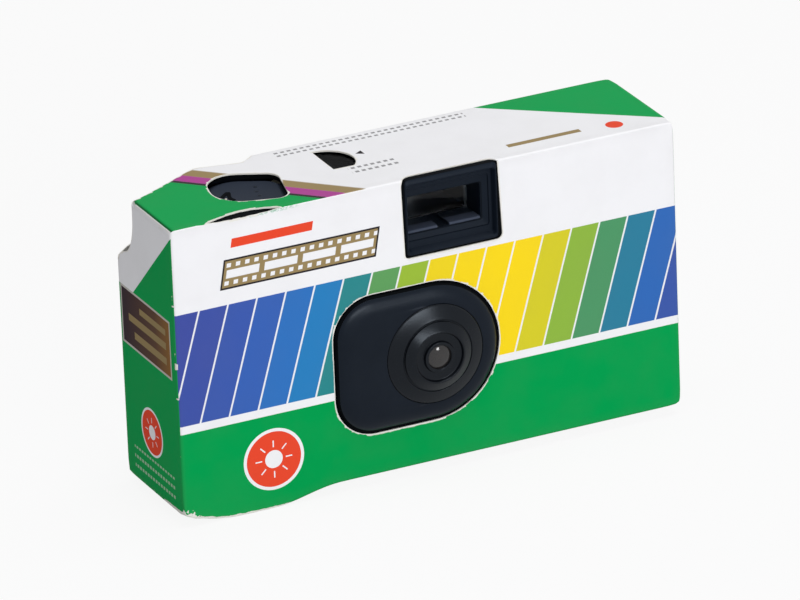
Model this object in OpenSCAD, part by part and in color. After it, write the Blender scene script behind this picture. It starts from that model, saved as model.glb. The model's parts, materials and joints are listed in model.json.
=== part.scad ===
// Disposable film camera: a printed card carton folded round a snap-together body
// Box coordinates: x from the left end, y from the front panel, z from the flat base
// place() carries them to the part frame, with its origin under the middle of the part

/* [Carton] */
// Width over the two ends
carton_w = 116; // [105:0.5:128]
// Height from the flat base to the top panel
carton_h = 64.6; // [58.6:0.2:71]
// Depth from the front panel to the back panel
carton_d = 29; // [26.5:0.1:32]
// Thickness of the folded card
card_t = 0.45; // [0.35:0.05:0.5]
// Drop of the bulge under the film cassette
belly_drop = 2.4; // [2.3:0.1:3]
// Width of the flat land on the bulge
belly_land = 6; // [4:0.5:8]
// Length over which the bulge dies out
belly_run = 16.5; // [14:0.5:18]

/* [Shell] */
// Wall of the two plastic covers
wall = 1; // [0.8:0.05:1.1]
// Depth of the rear cover
rear_depth = 4.1; // [3.8:0.1:4.6]
// Height of the film pressure ribs
rib_h = 1.9; // [1.6:0.1:2.2]
// Thickness of the bottom lids
lid_t = 0.8; // [0.7:0.1:1]
// Radius of the boss under the film roll, the second foot
foot_r = 6; // [5:0.5:7]

/* [Lens boss] */
// Radius of the round end of the boss
boss_r = 15.5; // [14.5:0.5:16.5]
// Reach of the boss to the left of the lens axis
boss_left = 22.4; // [20:0.2:24]
// Radius of the two left corners of the boss
boss_corner = 9; // [6:0.5:12]
// Height of the boss face over the front panel
boss_h = 1.8; // [1.5:0.1:2.2]
// Height of the lens hood over the boss face
hood_rise = 2.6; // [2:0.1:3]
// Radius of the lens hood
hood_r = 11; // [10.5:0.1:11.5]
// Radius of the hole in front of the lens
lens_hole_r = 2.5; // [2:0.1:2.8]

/* [Finder] */
// Left edge of the finder window, right of the lens axis when positive
finder_left = -5.4; // [-6:0.2:-4.6]
// Width of the finder window
finder_w = 22.6; // [22:0.2:24]
// Lower edge of the finder window below the top panel
finder_drop = 17.6; // [17.2:0.1:18.1]
// Reach of the finder window over the top fold
finder_lip = 1.8; // [1.4:0.1:2.4]
// Width of the view opening behind the hood
view_w = 17.5; // [16:0.5:18]
// Height of the view opening behind the hood
view_h = 8.4; // [7.6:0.2:8.6]

/* [Button and counter] */
// Depth of the button face below the top panel
button_sink = 1.2; // [1:0.1:1.4]
// Travel of the button
button_travel = 1.5; // [1:0.1:1.8]
// Gap round the button pad
button_gap = 0.35; // [0.25:0.05:0.5]
// Radius of the counter window
counter_window_r = 6.5; // [6:0.1:6.6]
// Radius of the counter disc over its teeth
counter_r = 7.2; // [6.9:0.1:7.3]
// Teeth on the counter disc
counter_teeth = 30; // [24:1:36]

/* [Film] */
// Gap between the film cassette and the covers
cassette_room = 0.5; // [0.4:0.05:0.6]
// Height of the cassette above the base
cassette_floor = 1.8; // [1.6:0.1:2]
// Height of the mechanism bay over the cassette
bay_h = 16; // [15:0.1:17]
// Length of the spool stub below the cassette
stub_len = 3.3; // [3:0.1:3.4]
// Height of the film
film_h = 35; // [34.9:0.05:35.1]
// Thickness of the film
film_t = 0.14; // [0.12:0.01:0.16]
// Radius of the wound film roll
roll_r = 8.1; // [7:0.1:9]
// Width of the picture on the film
picture_w = 36; // [34:0.5:37]
// Height of the picture left by the mask
picture_h = 13; // [12:0.5:16]

/* [Mechanism] */
// Depth of the thumbwheel rim behind the front panel
wheel_inset = 2.2; // [2.1:0.05:2.6]
// Thickness of the thumbwheel
wheel_t = 5.6; // [5:0.1:6]
// Grip grooves round the thumbwheel
wheel_grooves = 40; // [32:1:48]
// Radius of the sprocket over its teeth
sprocket_r = 6; // [5.8:0.05:6.1]
// Radius of the sprocket shaft
shaft_r = 1.5; // [1.3:0.05:1.7]
// Radius of the lever posts
post_r = 1.3; // [1.1:0.05:1.4]
// Thickness of the shutter blade
blade_t = 0.35; // [0.3:0.05:0.5]

/* [Hidden] */
$fn = 48;
fit_gap = 0.05;
run_gap = 0.06;
seat_gap = 0.1;
free_gap = 0.3;
boss_gap = 0.45;
shell_off = card_t + fit_gap;
inner_off = shell_off + wall;
body_off = inner_off + seat_gap;
shell_top = carton_h - shell_off;
roof_z = carton_h - inner_off;
split_y = carton_d - shell_off - rear_depth;
lens_x = carton_w / 2;
boss_top = boss_h + hood_rise;
cassette_r = carton_d / 2 - inner_off - cassette_room;
cassette_len = carton_h - bay_h - cassette_floor;
lens_z = cassette_floor + cassette_len / 2;
wheel_r = carton_d / 2 - wheel_inset;
finder_z = carton_h - finder_drop;
cass_x = inner_off + free_gap + cassette_r;
cass_y = carton_d / 2;
cass_z0 = cassette_floor;
cass_z1 = cass_z0 + cassette_len;
belly_x1 = cass_x - 0.3;
belly_x2 = belly_x1 + belly_land;
belly_x3 = belly_x2 + belly_run;
lid_x1 = belly_x3 + 0.3;
film_y = carton_d - inner_off - rib_h - seat_gap - film_t / 2;
film_z0 = lens_z - film_h / 2;
film_z1 = lens_z + film_h / 2;
roll_x = carton_w - cass_x;
roll_y = film_y - film_t / 2 - free_gap - roll_r;
roll_lid_x0 = roll_x - 12;
spool_r = 5.5;
spool_flange_r = 9.4;
spool_pin_r = 2;
deck_z0 = cass_z1 + 1;
deck_t = 1;
deck_z1 = deck_z0 + deck_t;
notch_z = deck_z1 + 0.4;
ledge_t = 0.9;
notch_y = carton_d - 11.9;
notch_r = 5;
wheel_z0 = deck_z1 + 1.6;
wheel_z1 = wheel_z0 + wheel_t;
hub_r = 5;
stub_r = 4.6;
plate_t = 1;
plate_z1 = roof_z - 4.5;
plate_z0 = plate_z1 - plate_t;
counter_z0 = plate_z1 + 2.2;
counter_t = 1;
counter_z1 = counter_z0 + counter_t;
part_x = cass_x + cassette_r + 1.2;
part_t = 1.2;
side_x = carton_w - part_x - part_t;
front_plate_y = 5;
front_plate_t = 1;
tunnel_y = front_plate_y + front_plate_t;
gate_y1 = film_y - film_t / 2 - seat_gap;
gate_y0 = gate_y1 - 1;
tunnel_step = (gate_y0 - tunnel_y) / 3;
sprocket_x = part_x + 5.5;
sprocket_y = film_y - film_t / 2 - 0.2 - sprocket_r;
sprocket_z = film_z1 - 3.4;
counter_x = sprocket_x + 9.9;
counter_y = sprocket_y - 1.7;
finger_r = norm([counter_x - sprocket_x, counter_y - sprocket_y]) - counter_r - free_gap;
lever_gap = 0.4;
spring_room = 2.4;
lever_t = (plate_z0 - deck_z1 - spring_room - 2 * lever_gap) / 2;
low_z0 = deck_z1 + lever_gap;
low_z1 = low_z0 + lever_t;
high_z0 = low_z1 + lever_gap;
high_z1 = high_z0 + lever_t;
meter_x = sprocket_x + 2;
meter_y = sprocket_y - 10.6;
drive_x = sprocket_x + 8;
drive_y = sprocket_y - 6.6;
stem_x = meter_x - 5.9;
stem_y = meter_y + 2;
stem_r = 1.2;
finger_x = drive_x + 3;
blade_x = lens_x - 8.5;
blade_z = lens_z + 10.3;
blade_y1 = front_plate_y - 0.6;
blade_y0 = blade_y1 - blade_t;
finger_y = blade_y1 + run_gap;
tab_x = blade_x - 2;
tab_z = deck_z0 - 3.8;
blade_pin_r = 1;
finder_x0 = lens_x + finder_left;
finder_x1 = finder_x0 + finder_w;
view_x = finder_x0 + finder_w / 2 - 0.9;
view_z = deck_z1 + 0.1 + 0.6 + view_h / 2;
barrel_y0 = 3.1;
barrel_y1 = carton_d - inner_off - seat_gap;
eye_w = 10;
eye_h = 6.6;
button_x = cass_x + 10;
button_y = cass_y - 0.2;
button_z1 = carton_h - button_sink;
button_z0 = roof_z - 1.8;
slit_x = 16.7;
slit_depth = 2.5;
slit_half = 8.7;
slit_r = (slit_half * slit_half + slit_depth * slit_depth) / (2 * slit_depth);
frame_y = (boss_top - carton_d) / 2;

// Outline helpers

function unit(v) = v / norm(v);

function corner(p, q, s, r, n) =
    let (a = unit([p.x - q.x, p.y - q.y]), b = unit([s.x - q.x, s.y - q.y]),
        half = acos(a * b) / 2,
        start = [q.x, q.y] + a * r / tan(half),
        mid = [q.x, q.y] + unit(a + b) * r / sin(half),
        turn = cross(a, b) > 0 ? 2 * half - 180 : 180 - 2 * half,
        d = start - mid)
    [for (i = [0 : n]) let (t = turn * i / n)
        mid + [d.x * cos(t) - d.y * sin(t), d.x * sin(t) + d.y * cos(t)]];

// Each corner is [x, y, fillet radius]
function rounded(p, n = 6) =
    [for (i = [0 : len(p) - 1])
        let (q = p[i], a = p[(i + len(p) - 1) % len(p)], b = p[(i + 1) % len(p)])
        each (q.z > 0 ? corner(a, q, b, q.z, n) : [[q.x, q.y]])];

function rect(x0, x1, y0, y1, r) =
    rounded([[x0, y0, r], [x1, y0, r], [x1, y1, r], [x0, y1, r]]);

function bar(p, q, w) =
    let (d = unit(q - p), n = [-d.y, d.x] * w / 2) [p + n, p - n, q - n, q + n];

function teeth(count, tip, root, lean) =
    [for (i = [0 : 2 * count - 1])
        let (a = 180 * (i + (i % 2 == 0 ? lean : 0)) / count, r = i % 2 == 0 ? tip : root)
        r * [cos(a), sin(a)]];

function belly(x) =
    x < belly_x1 ? -belly_drop * sin(90 * x / belly_x1)
    : x < belly_x2 ? -belly_drop
    : x < belly_x3 ? -belly_drop * (1 + cos(180 * (x - belly_x2) / belly_run)) / 2
    : 0;

// The land is one flat face, so only the two curved runs are divided
function belly_line(x0, x1, rise, n = 10) =
    concat([for (i = [0 : n]) let (x = x0 + (belly_x1 - x0) * i / n) [x, belly(x) + rise]],
        [for (i = [0 : n]) let (x = belly_x2 + belly_run * i / n) [x, belly(x) + rise]],
        x1 > belly_x3 ? [[x1, rise]] : []);

function flipped(p) = [for (i = [len(p) - 1 : -1 : 0]) p[i]];

function plan(inset, left_r) =
    rounded([[inset, inset, 0.8], [carton_w - inset, inset, 0.8],
        [carton_w - inset, carton_d - inset, max(2.6 - inset, 0.6)],
        [inset, carton_d - inset, left_r]]);

function elevation(inset) =
    rounded(concat([for (p = belly_line(inset, belly_x3, inset)) [p.x, p.y, 0]],
        [[carton_w - inset, inset, 2.1 - inset], [carton_w - inset, carton_h - inset, 1.5 - inset],
        [inset, carton_h - inset, 1.2 - inset]]));

function face(inset) =
    rounded([[inset, inset, 0], [carton_w - inset, inset, 2.1 - inset],
        [carton_w - inset, carton_h - inset, 1.5 - inset], [inset, carton_h - inset, 1.2 - inset]]);

// Grown into the card by the given amount
function notch(grow) =
    rounded([[-2, carton_d + 2, 0], [-2, notch_y - grow * 1.17, 0],
        [18.6 + grow * 0.15, carton_d - 0.35 - grow * 1.08, 1.4],
        [28.4, carton_d - 2.8 - grow, 2], [32.5 + grow, carton_d + 0.6, 1.2],
        [32.5 + grow, carton_d + 2, 0]]);

function boss_outline(grow) =
    rounded([[lens_x - boss_left - grow, lens_z - boss_r - grow, boss_corner + grow],
        [lens_x + boss_r + grow, lens_z - boss_r - grow, boss_r + grow - 0.01],
        [lens_x + boss_r + grow, lens_z + boss_r + grow, boss_r + grow - 0.01],
        [lens_x - boss_left - grow, lens_z + boss_r + grow, boss_corner + grow]], 10);

function button_outline(grow) =
    let (g = grow)
    rounded([for (p = [[-10.1, -5.8, 5.5], [5, -10.2, 2], [8.2, 3.2, 2.6], [-6.4, 10.6, 5]])
        [button_x + p.x + sign(p.x) * g, button_y + p.y + sign(p.y) * g, p.z + g / 2]]);

function counter_outline(grow) =
    concat([[counter_x - grow, counter_y - 4.2 - grow]],
        [for (a = [-44 : 13.4 : 90]) [counter_x - grow, counter_y]
            + (counter_window_r + grow) * [cos(a), sin(a)] + [grow, 0]],
        [[counter_x - grow, counter_y + counter_window_r + grow]]);

// Solid helpers

module place() translate([-carton_w / 2, frame_y, belly_drop]) children();

module prism(p, z0, z1) translate([0, 0, z0]) linear_extrude(z1 - z0) polygon(p);

module front_prism(p, y0, y1)
    translate([0, y1, 0]) rotate([90, 0, 0]) linear_extrude(y1 - y0) polygon(p);

module slab(x0, x1, y0, y1, z0, z1)
    translate([x0, y0, z0]) cube([x1 - x0, y1 - y0, z1 - z0]);

module rod(x, y, z0, z1, r) translate([x, y, z0]) cylinder(h = z1 - z0, r = r);

module axle(x, z, y0, y1, r)
    translate([x, y1, z]) rotate([90, 0, 0]) cylinder(h = y1 - y0, r = r);

// Turned about the lens axis, heights run to the front
module turned(p) translate([lens_x, 0, lens_z]) rotate([90, 0, 0]) rotate_extrude() polygon(p);

// A tube swept along a helix, six sides and eight rings a turn
module coil(r, wire, turns, height) {
    rings = 8 * turns;
    points = [for (i = [0 : rings]) for (k = [0 : 5])
        let (a = 45 * i, s = r + wire * cos(60 * k))
        [s * cos(a), s * sin(a), height * i / rings + wire * sin(60 * k)]];
    sides = [for (i = [0 : rings - 1]) for (k = [0 : 5])
        let (n = (k + 1) % 6, a = 6 * i + k, b = 6 * i + n)
        each [[a, b + 6, a + 6], [a, b, b + 6]]];
    caps = [for (k = [1 : 4]) each [[0, k + 1, k],
        [6 * rings, 6 * rings + k, 6 * rings + k + 1]]];
    polyhedron(points, concat(sides, caps), convexity = 6);
}

// The boss outline drawn in as it rises, as a quarter ellipse
module pillow(reach, drop, levels = 6) {
    count = len(boss_outline(0));
    points = [for (k = [0 : levels]) for (p = boss_outline(-boss_gap - reach * (1 - cos(90 * k / levels))))
        [p.x, -drop * sin(90 * k / levels), p.y]];
    foot = [for (p = boss_outline(-boss_gap)) [p.x, shell_off + wall / 2, p.y]];
    all_points = concat(foot, points);
    sides = [for (k = [0 : levels]) for (i = [0 : count - 1])
        let (n = (i + 1) % count, a = k * count + i, b = k * count + n)
        each [[a, b + count, b], [a, a + count, b + count]]];
    back = [[for (i = [0 : count - 1]) i]];
    face = [[for (i = [0 : count - 1]) (levels + 2) * count - 1 - i]];
    polyhedron(all_points, concat(sides, back, face), convexity = 4);
}

module shell_block(inset, grow, z0, z1, ledge) difference() {
    prism(plan(inset, 10 - inset), z0, z1);
    prism(notch(grow), ledge, carton_h + 1);
}

module shell() difference() {
    intersection() {
        shell_block(shell_off, shell_off, shell_off, shell_top, notch_z);
        front_prism(face(shell_off), 0, carton_d);
    }
    shell_block(inner_off, inner_off, inner_off, roof_z, notch_z - ledge_t);
    intersection() {
        prism(plan(inner_off, 10 - inner_off), 0, inner_off + 0.5);
        union() {
            slab(0, lid_x1 + seat_gap, 0, carton_d, 0, carton_h);
            slab(roll_lid_x0 - seat_gap, carton_w, 0, carton_d, 0, carton_h);
        }
    }
    rod(cass_x, cass_y, wheel_z0 - free_gap, wheel_z1 + free_gap, wheel_r + free_gap - 0.05);
    prism(button_outline(0.2), roof_z - 1, carton_h);
    prism(counter_outline(0.5), roof_z - 1, carton_h);
}

// Outer pieces

module carton() color("gainsboro") place() {
    card();
    notch_web();
}

// The left end rounds into the thumb notch
module notch_web() let (y = notch_y + 1.2, z = notch_z)
    rotate([90, 0, 90]) linear_extrude(card_t) polygon(concat([[y - 1, z - 1], [y + notch_r, z - 1]],
        [for (a = [0 : 10 : 90]) [y + notch_r * (1 - sin(a)), z + notch_r * (1 - cos(a))]],
        [[y - 1, z + notch_r]]));

module card() difference() {
    intersection() {
        prism(plan(0, 1.5), -belly_drop - 1, carton_h + 1);
        front_prism(elevation(0), -1, carton_d + 1);
    }
    intersection() {
        prism(plan(card_t, 1.5 - card_t), -belly_drop, carton_h);
        front_prism(elevation(card_t), 0, carton_d);
    }
    front_prism(boss_outline(0), -1, 2);
    front_prism(rect(finder_x0, finder_x1, finder_z, carton_h + 4, 1), -1, finder_lip);
    prism(button_outline(0), carton_h - 2, carton_h + 1);
    prism(counter_outline(0), carton_h - 2, carton_h + 1);
    prism(notch(0), notch_z, carton_h + 2);
    rod(slit_x, slit_depth - slit_r, carton_h - 0.6, carton_h + 1, slit_r);
    front_prism(rect(view_x - eye_w / 2 - 1, view_x + eye_w / 2 + 1,
        view_z - eye_h / 2 - 1, view_z + eye_h / 2 + 1, 1.5), carton_d - 2, carton_d + 1);
    rod(roll_x, roll_y, -1, 2, foot_r + free_gap);
}

module front_cover() color("dimgray") place() difference() {
    union() {
        intersection() {
            shell();
            slab(0, carton_w, 0, split_y, 0, carton_h);
        }
        pillow(4, boss_h);
        front_prism(rect(finder_x0 + 0.25, finder_x1 - 0.25, finder_z + 0.25, shell_top, 0.8),
            0.1, barrel_y0 - 0.1);
        slab(finder_x0 + 0.25, finder_x1 - 0.25, 0.1, finder_lip - 0.25, finder_z + 3, carton_h - 0.2);
    }
    front_prism(boss_outline(-2), -boss_h + 1, 4);
    turned([[0, -2], [hood_r + seat_gap, -2], [hood_r + seat_gap, boss_h + 1], [0, boss_h + 1]]);
    front_prism(rect(finder_x0 + 1.1, finder_x1 - 1.1, finder_z + 1.1, carton_h - 1.1, 0.8), -1, 2);
    front_prism(rect(view_x - view_w / 2, view_x + view_w / 2,
        view_z - view_h / 2, view_z + view_h / 2, 0.5), -1, 4);
}

module rear_cover() color("dimgray") place() difference() {
    union() {
        intersection() {
            shell();
            slab(0, carton_w, split_y + seat_gap, carton_d, 0, carton_h);
        }
        for (x = [-14, -5, 5, 14])
            slab(lens_x + x - 0.6, lens_x + x + 0.6, film_y + film_t / 2 + seat_gap,
                carton_d - inner_off + 0.3, film_z0 + 1, film_z1 - 1);
    }
    front_prism(rect(view_x - eye_w / 2, view_x + eye_w / 2,
        view_z - eye_h / 2, view_z + eye_h / 2, 1), split_y, carton_d + 1);
}

module cassette_lid() color("slategray") place() difference() {
    low = belly_line(body_off, lid_x1, shell_off + seat_gap);
    intersection() {
        union() {
            front_prism(concat(low, flipped(belly_line(body_off, lid_x1, shell_off + seat_gap + lid_t))),
                body_off, carton_d - body_off);
            rod(cass_x, cass_y, -belly_drop, cass_z0 - seat_gap, stub_r + 2.4);
        }
        front_prism(concat(low, [[lid_x1, cass_z0 + 1], [body_off, cass_z0 + 1]]), 0, carton_d);
        prism(plan(body_off, 10 - body_off), -belly_drop, cass_z0 + 1);
    }
    rod(cass_x, cass_y, -belly_drop - 1, cass_z0 + 1, stub_r + 0.4);
}

module roll_lid() color("slategray") place() difference() {
    union() {
        intersection() {
            slab(roll_lid_x0, carton_w, 0, carton_d, shell_off, shell_off + lid_t);
            prism(plan(body_off, 10 - body_off), 0, inner_off);
            front_prism(face(shell_off), 0, carton_d);
        }
        rod(roll_x, roll_y, -belly_drop, shell_off + lid_t / 2, foot_r);
        rod(roll_x, roll_y, shell_off, film_z0 - 1.3, spool_pin_r + 1.5);
    }
    rod(roll_x, roll_y, -belly_drop + 1.2, film_z0, spool_pin_r + run_gap);
}

// Body and film path

module tunnel_box(k, grow, y0, y1) {
    w = [14, 26, picture_w + 2][k] / 2 + grow;
    h = [9, 15, 24][k] / 2 + grow;
    slab(lens_x - w, lens_x + w, y0, y1, lens_z - h, lens_z + h);
}

module post(x, y, r) rod(x, y, deck_z1 - 0.2, plate_z0 - seat_gap, r);

module main_body() color("darkslategray") place() difference() {
    union() {
        difference() {
            prism(plan(body_off, 10 - body_off), deck_z0, deck_z1);
            prism(notch(inner_off + seat_gap), deck_z0 - 1, carton_h);
            slab(finder_x0 - 2, finder_x1 + 2, 0, 9, 0, carton_h);
            slab(part_x + 8, finder_x0, 0, drive_y - 3, 0, carton_h);
        }
        for (x = [part_x, side_x])
            slab(x, x + part_t, body_off, gate_y0 - 0.5, lid_t + inner_off + 0.2, deck_z0 + 0.5);
        slab(part_x, side_x + part_t, front_plate_y, tunnel_y, lid_t + inner_off + 0.2, tab_z + 0.4);
        for (k = [0 : 2])
            tunnel_box(k, 1, tunnel_y + tunnel_step * k - 0.3, tunnel_y + tunnel_step * (k + 1));
        slab(lens_x - picture_w / 2 - 4, lens_x + picture_w / 2 + 4, gate_y0 - 0.3, gate_y1,
            film_z0 + 0.2, film_z1 - 0.2);
        slab(part_x, sprocket_x + 3, sprocket_y - 3, sprocket_y + 3, sprocket_z - 5, sprocket_z - 3.4);
        slab(part_x, part_x + 3, front_plate_y, sprocket_y, sprocket_z - 5, sprocket_z - 3.4);
        axle(blade_x, blade_z, front_plate_y - 2.8, front_plate_y + 0.5, blade_pin_r);
        post(meter_x, meter_y, post_r);
        post(drive_x, drive_y, post_r);
        rod(drive_x, drive_y, deck_z1 - 0.2, high_z0 - seat_gap, post_r + 0.9);
        post(sprocket_x + 4.8, carton_d - 6, 1.4);
        post(finder_x0 - 2.6, carton_d - 6, 1.4);
        post(finder_x0 - 2.6, drive_y + 5, 1.4);
    }
    axle(lens_x, lens_z, 0, tunnel_y + 3, lens_hole_r);
    for (k = [0 : 2])
        tunnel_box(k, 0, tunnel_y + tunnel_step * k + (k == 0 ? 1 : 0.7), gate_y1 + 1);
    rod(cass_x, cass_y, deck_z0 - 1, deck_z1 + 1, hub_r + run_gap);
    rod(sprocket_x, sprocket_y, sprocket_z - 6, deck_z1 + 1, shaft_r + run_gap);
    rod(sprocket_x, sprocket_y, sprocket_z - 1.1, sprocket_z + 1.1, sprocket_r + free_gap);
    rod(roll_x, roll_y, deck_z0 - 1, deck_z1 + 1, spool_pin_r + run_gap);
}

module panorama_mask() color("black") place() difference() {
    tunnel_box(2, -seat_gap, gate_y0 - 1.2, gate_y0 - 0.4);
    slab(lens_x - picture_w / 2, lens_x + picture_w / 2, gate_y0 - 2, gate_y0,
        lens_z - picture_h / 2, lens_z + picture_h / 2);
}

module film_strip() color("saddlebrown") place() difference() {
    slab(cass_x + 9, roll_x, film_y - film_t / 2, film_y + film_t / 2, film_z0, film_z1);
    for (z = [film_z0 + 2, film_z1 - 4.8]) for (x = [cass_x + 12 : 4.75 : roll_x - 4])
        slab(x, x + 2, film_y - 1, film_y + 1, z, z + 2.8);
}

module film_roll() color("sienna") place() difference() {
    rod(roll_x, roll_y, film_z0, film_z1, roll_r);
    rod(roll_x, roll_y, film_z0 - 1, film_z1 + 1, spool_r + 0.02);
}

module supply_spool() color("black") place() union() {
    rod(roll_x, roll_y, film_z0 - 0.5, film_z1 + 0.5, spool_r);
    for (z = [film_z0 - 1, film_z1 + 0.1]) rod(roll_x, roll_y, z, z + 0.9, spool_flange_r);
    rod(roll_x, roll_y, -belly_drop + 1.4, deck_z1 - 0.2, spool_pin_r);
}

module cassette_shell() color("goldenrod") place() difference() {
    union() {
        difference() {
            rod(cass_x, cass_y, cass_z0 + 1, cass_z1 - 1, cassette_r);
            rod(cass_x, cass_y, cass_z0, cass_z1, cassette_r - 0.3);
        }
        for (y = [film_y - 1, film_y + 0.7])
            slab(cass_x + 3, cass_x + cassette_r + 0.8, y, y + 0.3, cass_z0 + 1.5, cass_z1 - 1.5);
    }
    slab(cass_x, cass_x + cassette_r + 2, film_y - 0.7, film_y + 0.7, cass_z0 + 1.5, cass_z1 - 1.5);
}

module cap(z0, z1) difference() {
    rod(cass_x, cass_y, z0, z1, cassette_r);
    rod(cass_x, cass_y, z0 - 1, z1 + 1, stub_r + 0.15);
}

module cassette_top_cap() color("silver") place() cap(cass_z1 - 0.95, cass_z1);

module cassette_bottom_cap() color("silver") place() cap(cass_z0, cass_z0 + 0.95);

module cassette_spool() color("black") place() difference() {
    union() {
        rod(cass_x, cass_y, cass_z0 + 1.2, cass_z1 - 1.2, spool_r);
        rod(cass_x, cass_y, cass_z0 - stub_len, cass_z1 - 0.2, stub_r);
    }
    difference() {
        rod(cass_x, cass_y, cass_z1 - 5, cass_z1 + 1, 3.6);
        slab(cass_x - 4, cass_x + 4, cass_y - 0.7, cass_y + 0.7, cass_z1 - 5.2, cass_z1 - 1.5);
    }
}

module cassette_felts() color("dimgray") place()
    for (y = [film_y - 0.65, film_y + 0.15])
        slab(cass_x + 6.6, cass_x + cassette_r + 0.6, y, y + 0.5, cass_z0 + 2, cass_z1 - 2);

// Lens and shutter

module lens_hood() color("dimgray") place() {
    f = boss_h + 0.15;
    t = boss_top;
    turned([[lens_hole_r + 1.2, -2.6], [lens_hole_r + 1.2, t - 1.1], [lens_hole_r, t - 1.1],
        [lens_hole_r, t - 0.6], [lens_hole_r + 0.4, t - 0.3], [lens_hole_r + 0.9, t - 0.3],
        [lens_hole_r + 1.3, t - 0.75], [hood_r - 5.7, t - 0.7],
        [hood_r - 5.4, t], [hood_r - 5.1, t - 0.1], [hood_r - 3.1, f + 1.25], [hood_r - 3.1, f + 0.9],
        [hood_r - 2.7, f + 0.9], [hood_r - 2.7, f + 1.05], [hood_r - 0.2, f + 0.1], [hood_r, f],
        [hood_r, boss_h - 1.2], [hood_r + 1.4, boss_h - 1.2], [hood_r + 1.4, boss_h - 2.2],
        [hood_r - 4, boss_h - 2.2], [hood_r - 4, -0.4], [lens_hole_r + 3.2, -0.4],
        [lens_hole_r + 3.2, -2.6]]);
}

module lens_cut(r, h0, h1, apex, bend) intersection() {
    turned([[0, h0], [r, h0], [r, h1], [0, h1]]);
    translate([lens_x, bend - apex, lens_z]) sphere(bend, $fn = 200);
}

module front_lens() color("lightblue") place()
    lens_cut(lens_hole_r + 1.1, boss_h - 2, boss_top, boss_top - 0.7, 7);

module stop_plate() color("black") place() difference() {
    turned([[0, -0.6], [lens_hole_r + 1.1, -0.6], [lens_hole_r + 1.1, -0.3], [0, -0.3]]);
    axle(lens_x, lens_z, -2, 3, 1.1);
}

module rear_lens() color("lightblue") place()
    lens_cut(lens_hole_r + 1.1, -1.7, 1, -0.7, 14);

module lens_retainer() color("gray") place() difference() {
    turned([[0, -2.5], [lens_hole_r + 1.1, -2.5], [lens_hole_r + 1.1, -1.8], [0, -1.8]]);
    axle(lens_x, lens_z, 0, 4, lens_hole_r - 0.2);
}

module shutter_blade() color("silver") place() difference() {
    union() {
        axle(blade_x, blade_z, blade_y0, blade_y1, 2.2);
        axle(lens_x, lens_z, blade_y0, blade_y1, lens_hole_r + 0.9);
        axle(tab_x, tab_z, blade_y0, blade_y1, 1.1);
        front_prism(bar([blade_x, blade_z], [lens_x, lens_z], 3), blade_y0, blade_y1);
        front_prism(bar([blade_x, blade_z], [tab_x, tab_z], 2.2), blade_y0, blade_y1);
    }
    axle(blade_x, blade_z, blade_y0 - 1, blade_y1 + 1, blade_pin_r + run_gap);
}

module shutter_spring() color("silver") place()
    translate([blade_x, blade_y0 - 0.4, blade_z]) rotate([90, 0, 0])
        coil(blade_pin_r + 0.45, 0.15, 3, 1.3);

// Finder

module view_box(grow, y0, y1)
    slab(view_x - view_w / 2 - grow, view_x + view_w / 2 + grow, y0, y1,
        view_z - view_h / 2 - grow, view_z + view_h / 2 + grow);

module finder_barrel() color("dimgray") place() union() {
    difference() {
        view_box(0.6, barrel_y0, barrel_y1);
        view_box(0, barrel_y0 - 1, barrel_y1 + 1);
    }
    for (s = [-1, 1])
        slab(view_x + s * 4.9 - 3.6, view_x + s * 4.9 + 3.6, barrel_y0, barrel_y0 + 5.4,
            view_z - view_h / 2 - 0.3, view_z - view_h / 2 + 0.5);
}

module finder_front_lens() color("lightblue") place() difference() {
    view_box(-seat_gap, barrel_y0 + 5.6, barrel_y0 + 7.4);
    translate([view_x, barrel_y0 + 6.5 - 40, view_z]) sphere(40, $fn = 200);
}

module finder_eyepiece() color("lightblue") place() intersection() {
    view_box(-seat_gap, barrel_y1 - 2, barrel_y1 - 0.1);
    translate([view_x, barrel_y1 - 0.1 - 36, view_z]) sphere(36, $fn = 200);
}

// Button, levers and counter

module shutter_button() color("gray") place() difference() {
    union() {
        prism(button_outline(-button_gap), button_z0 + 0.5, button_z1);
        prism(button_outline(0.8), button_z0, roof_z - free_gap);
        rod(stem_x, stem_y, low_z1 + 0.6, button_z0 + 0.2, stem_r);
    }
    rod(sprocket_x, sprocket_y, button_z0 - 1, carton_h, finger_r + free_gap);
}

module lever_arm(p, q, w, z0, z1) {
    prism(bar(p, q, w), z0, z1);
    rod(q.x, q.y, z0, z1, w / 2);
}

module metering_lever() color("orange") place() difference() {
    union() {
        rod(meter_x, meter_y, low_z0, low_z1, post_r + 1.1);
        lever_arm([meter_x, meter_y], [sprocket_x + 0.9, sprocket_y - 5.6], 1.8, low_z0, low_z1);
        lever_arm([meter_x, meter_y], [stem_x + 2.4, stem_y - 0.7], 1.6, low_z0, low_z1);
    }
    rod(meter_x, meter_y, low_z0 - 1, low_z1 + 1, post_r + run_gap);
}

module metering_spring() color("silver") place() translate([meter_x, meter_y, low_z1 + 0.55])
    coil(post_r + 0.5, 0.18, 3, plate_z0 - low_z1 - 1.3);

module drive_lever() color("darkorange") place() difference() {
    union() {
        rod(drive_x, drive_y, high_z0, high_z1, post_r + 1.2);
        lever_arm([drive_x, drive_y], [finger_x, finger_y], 2, high_z0, high_z1);
        lever_arm([drive_x, drive_y], [sprocket_x + 3, sprocket_y - 2.2], 1.8, high_z0, high_z1);
        rod(finger_x, finger_y, tab_z + 1.5, high_z1 - 0.2, 0.8);
    }
    rod(drive_x, drive_y, high_z0 - 1, high_z1 + 1, post_r + run_gap);
}

module drive_spring() color("silver") place() translate([drive_x, drive_y, high_z1 + 0.45])
    coil(post_r + 0.5, 0.18, 3, plate_z0 - high_z1 - 0.9);

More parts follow.
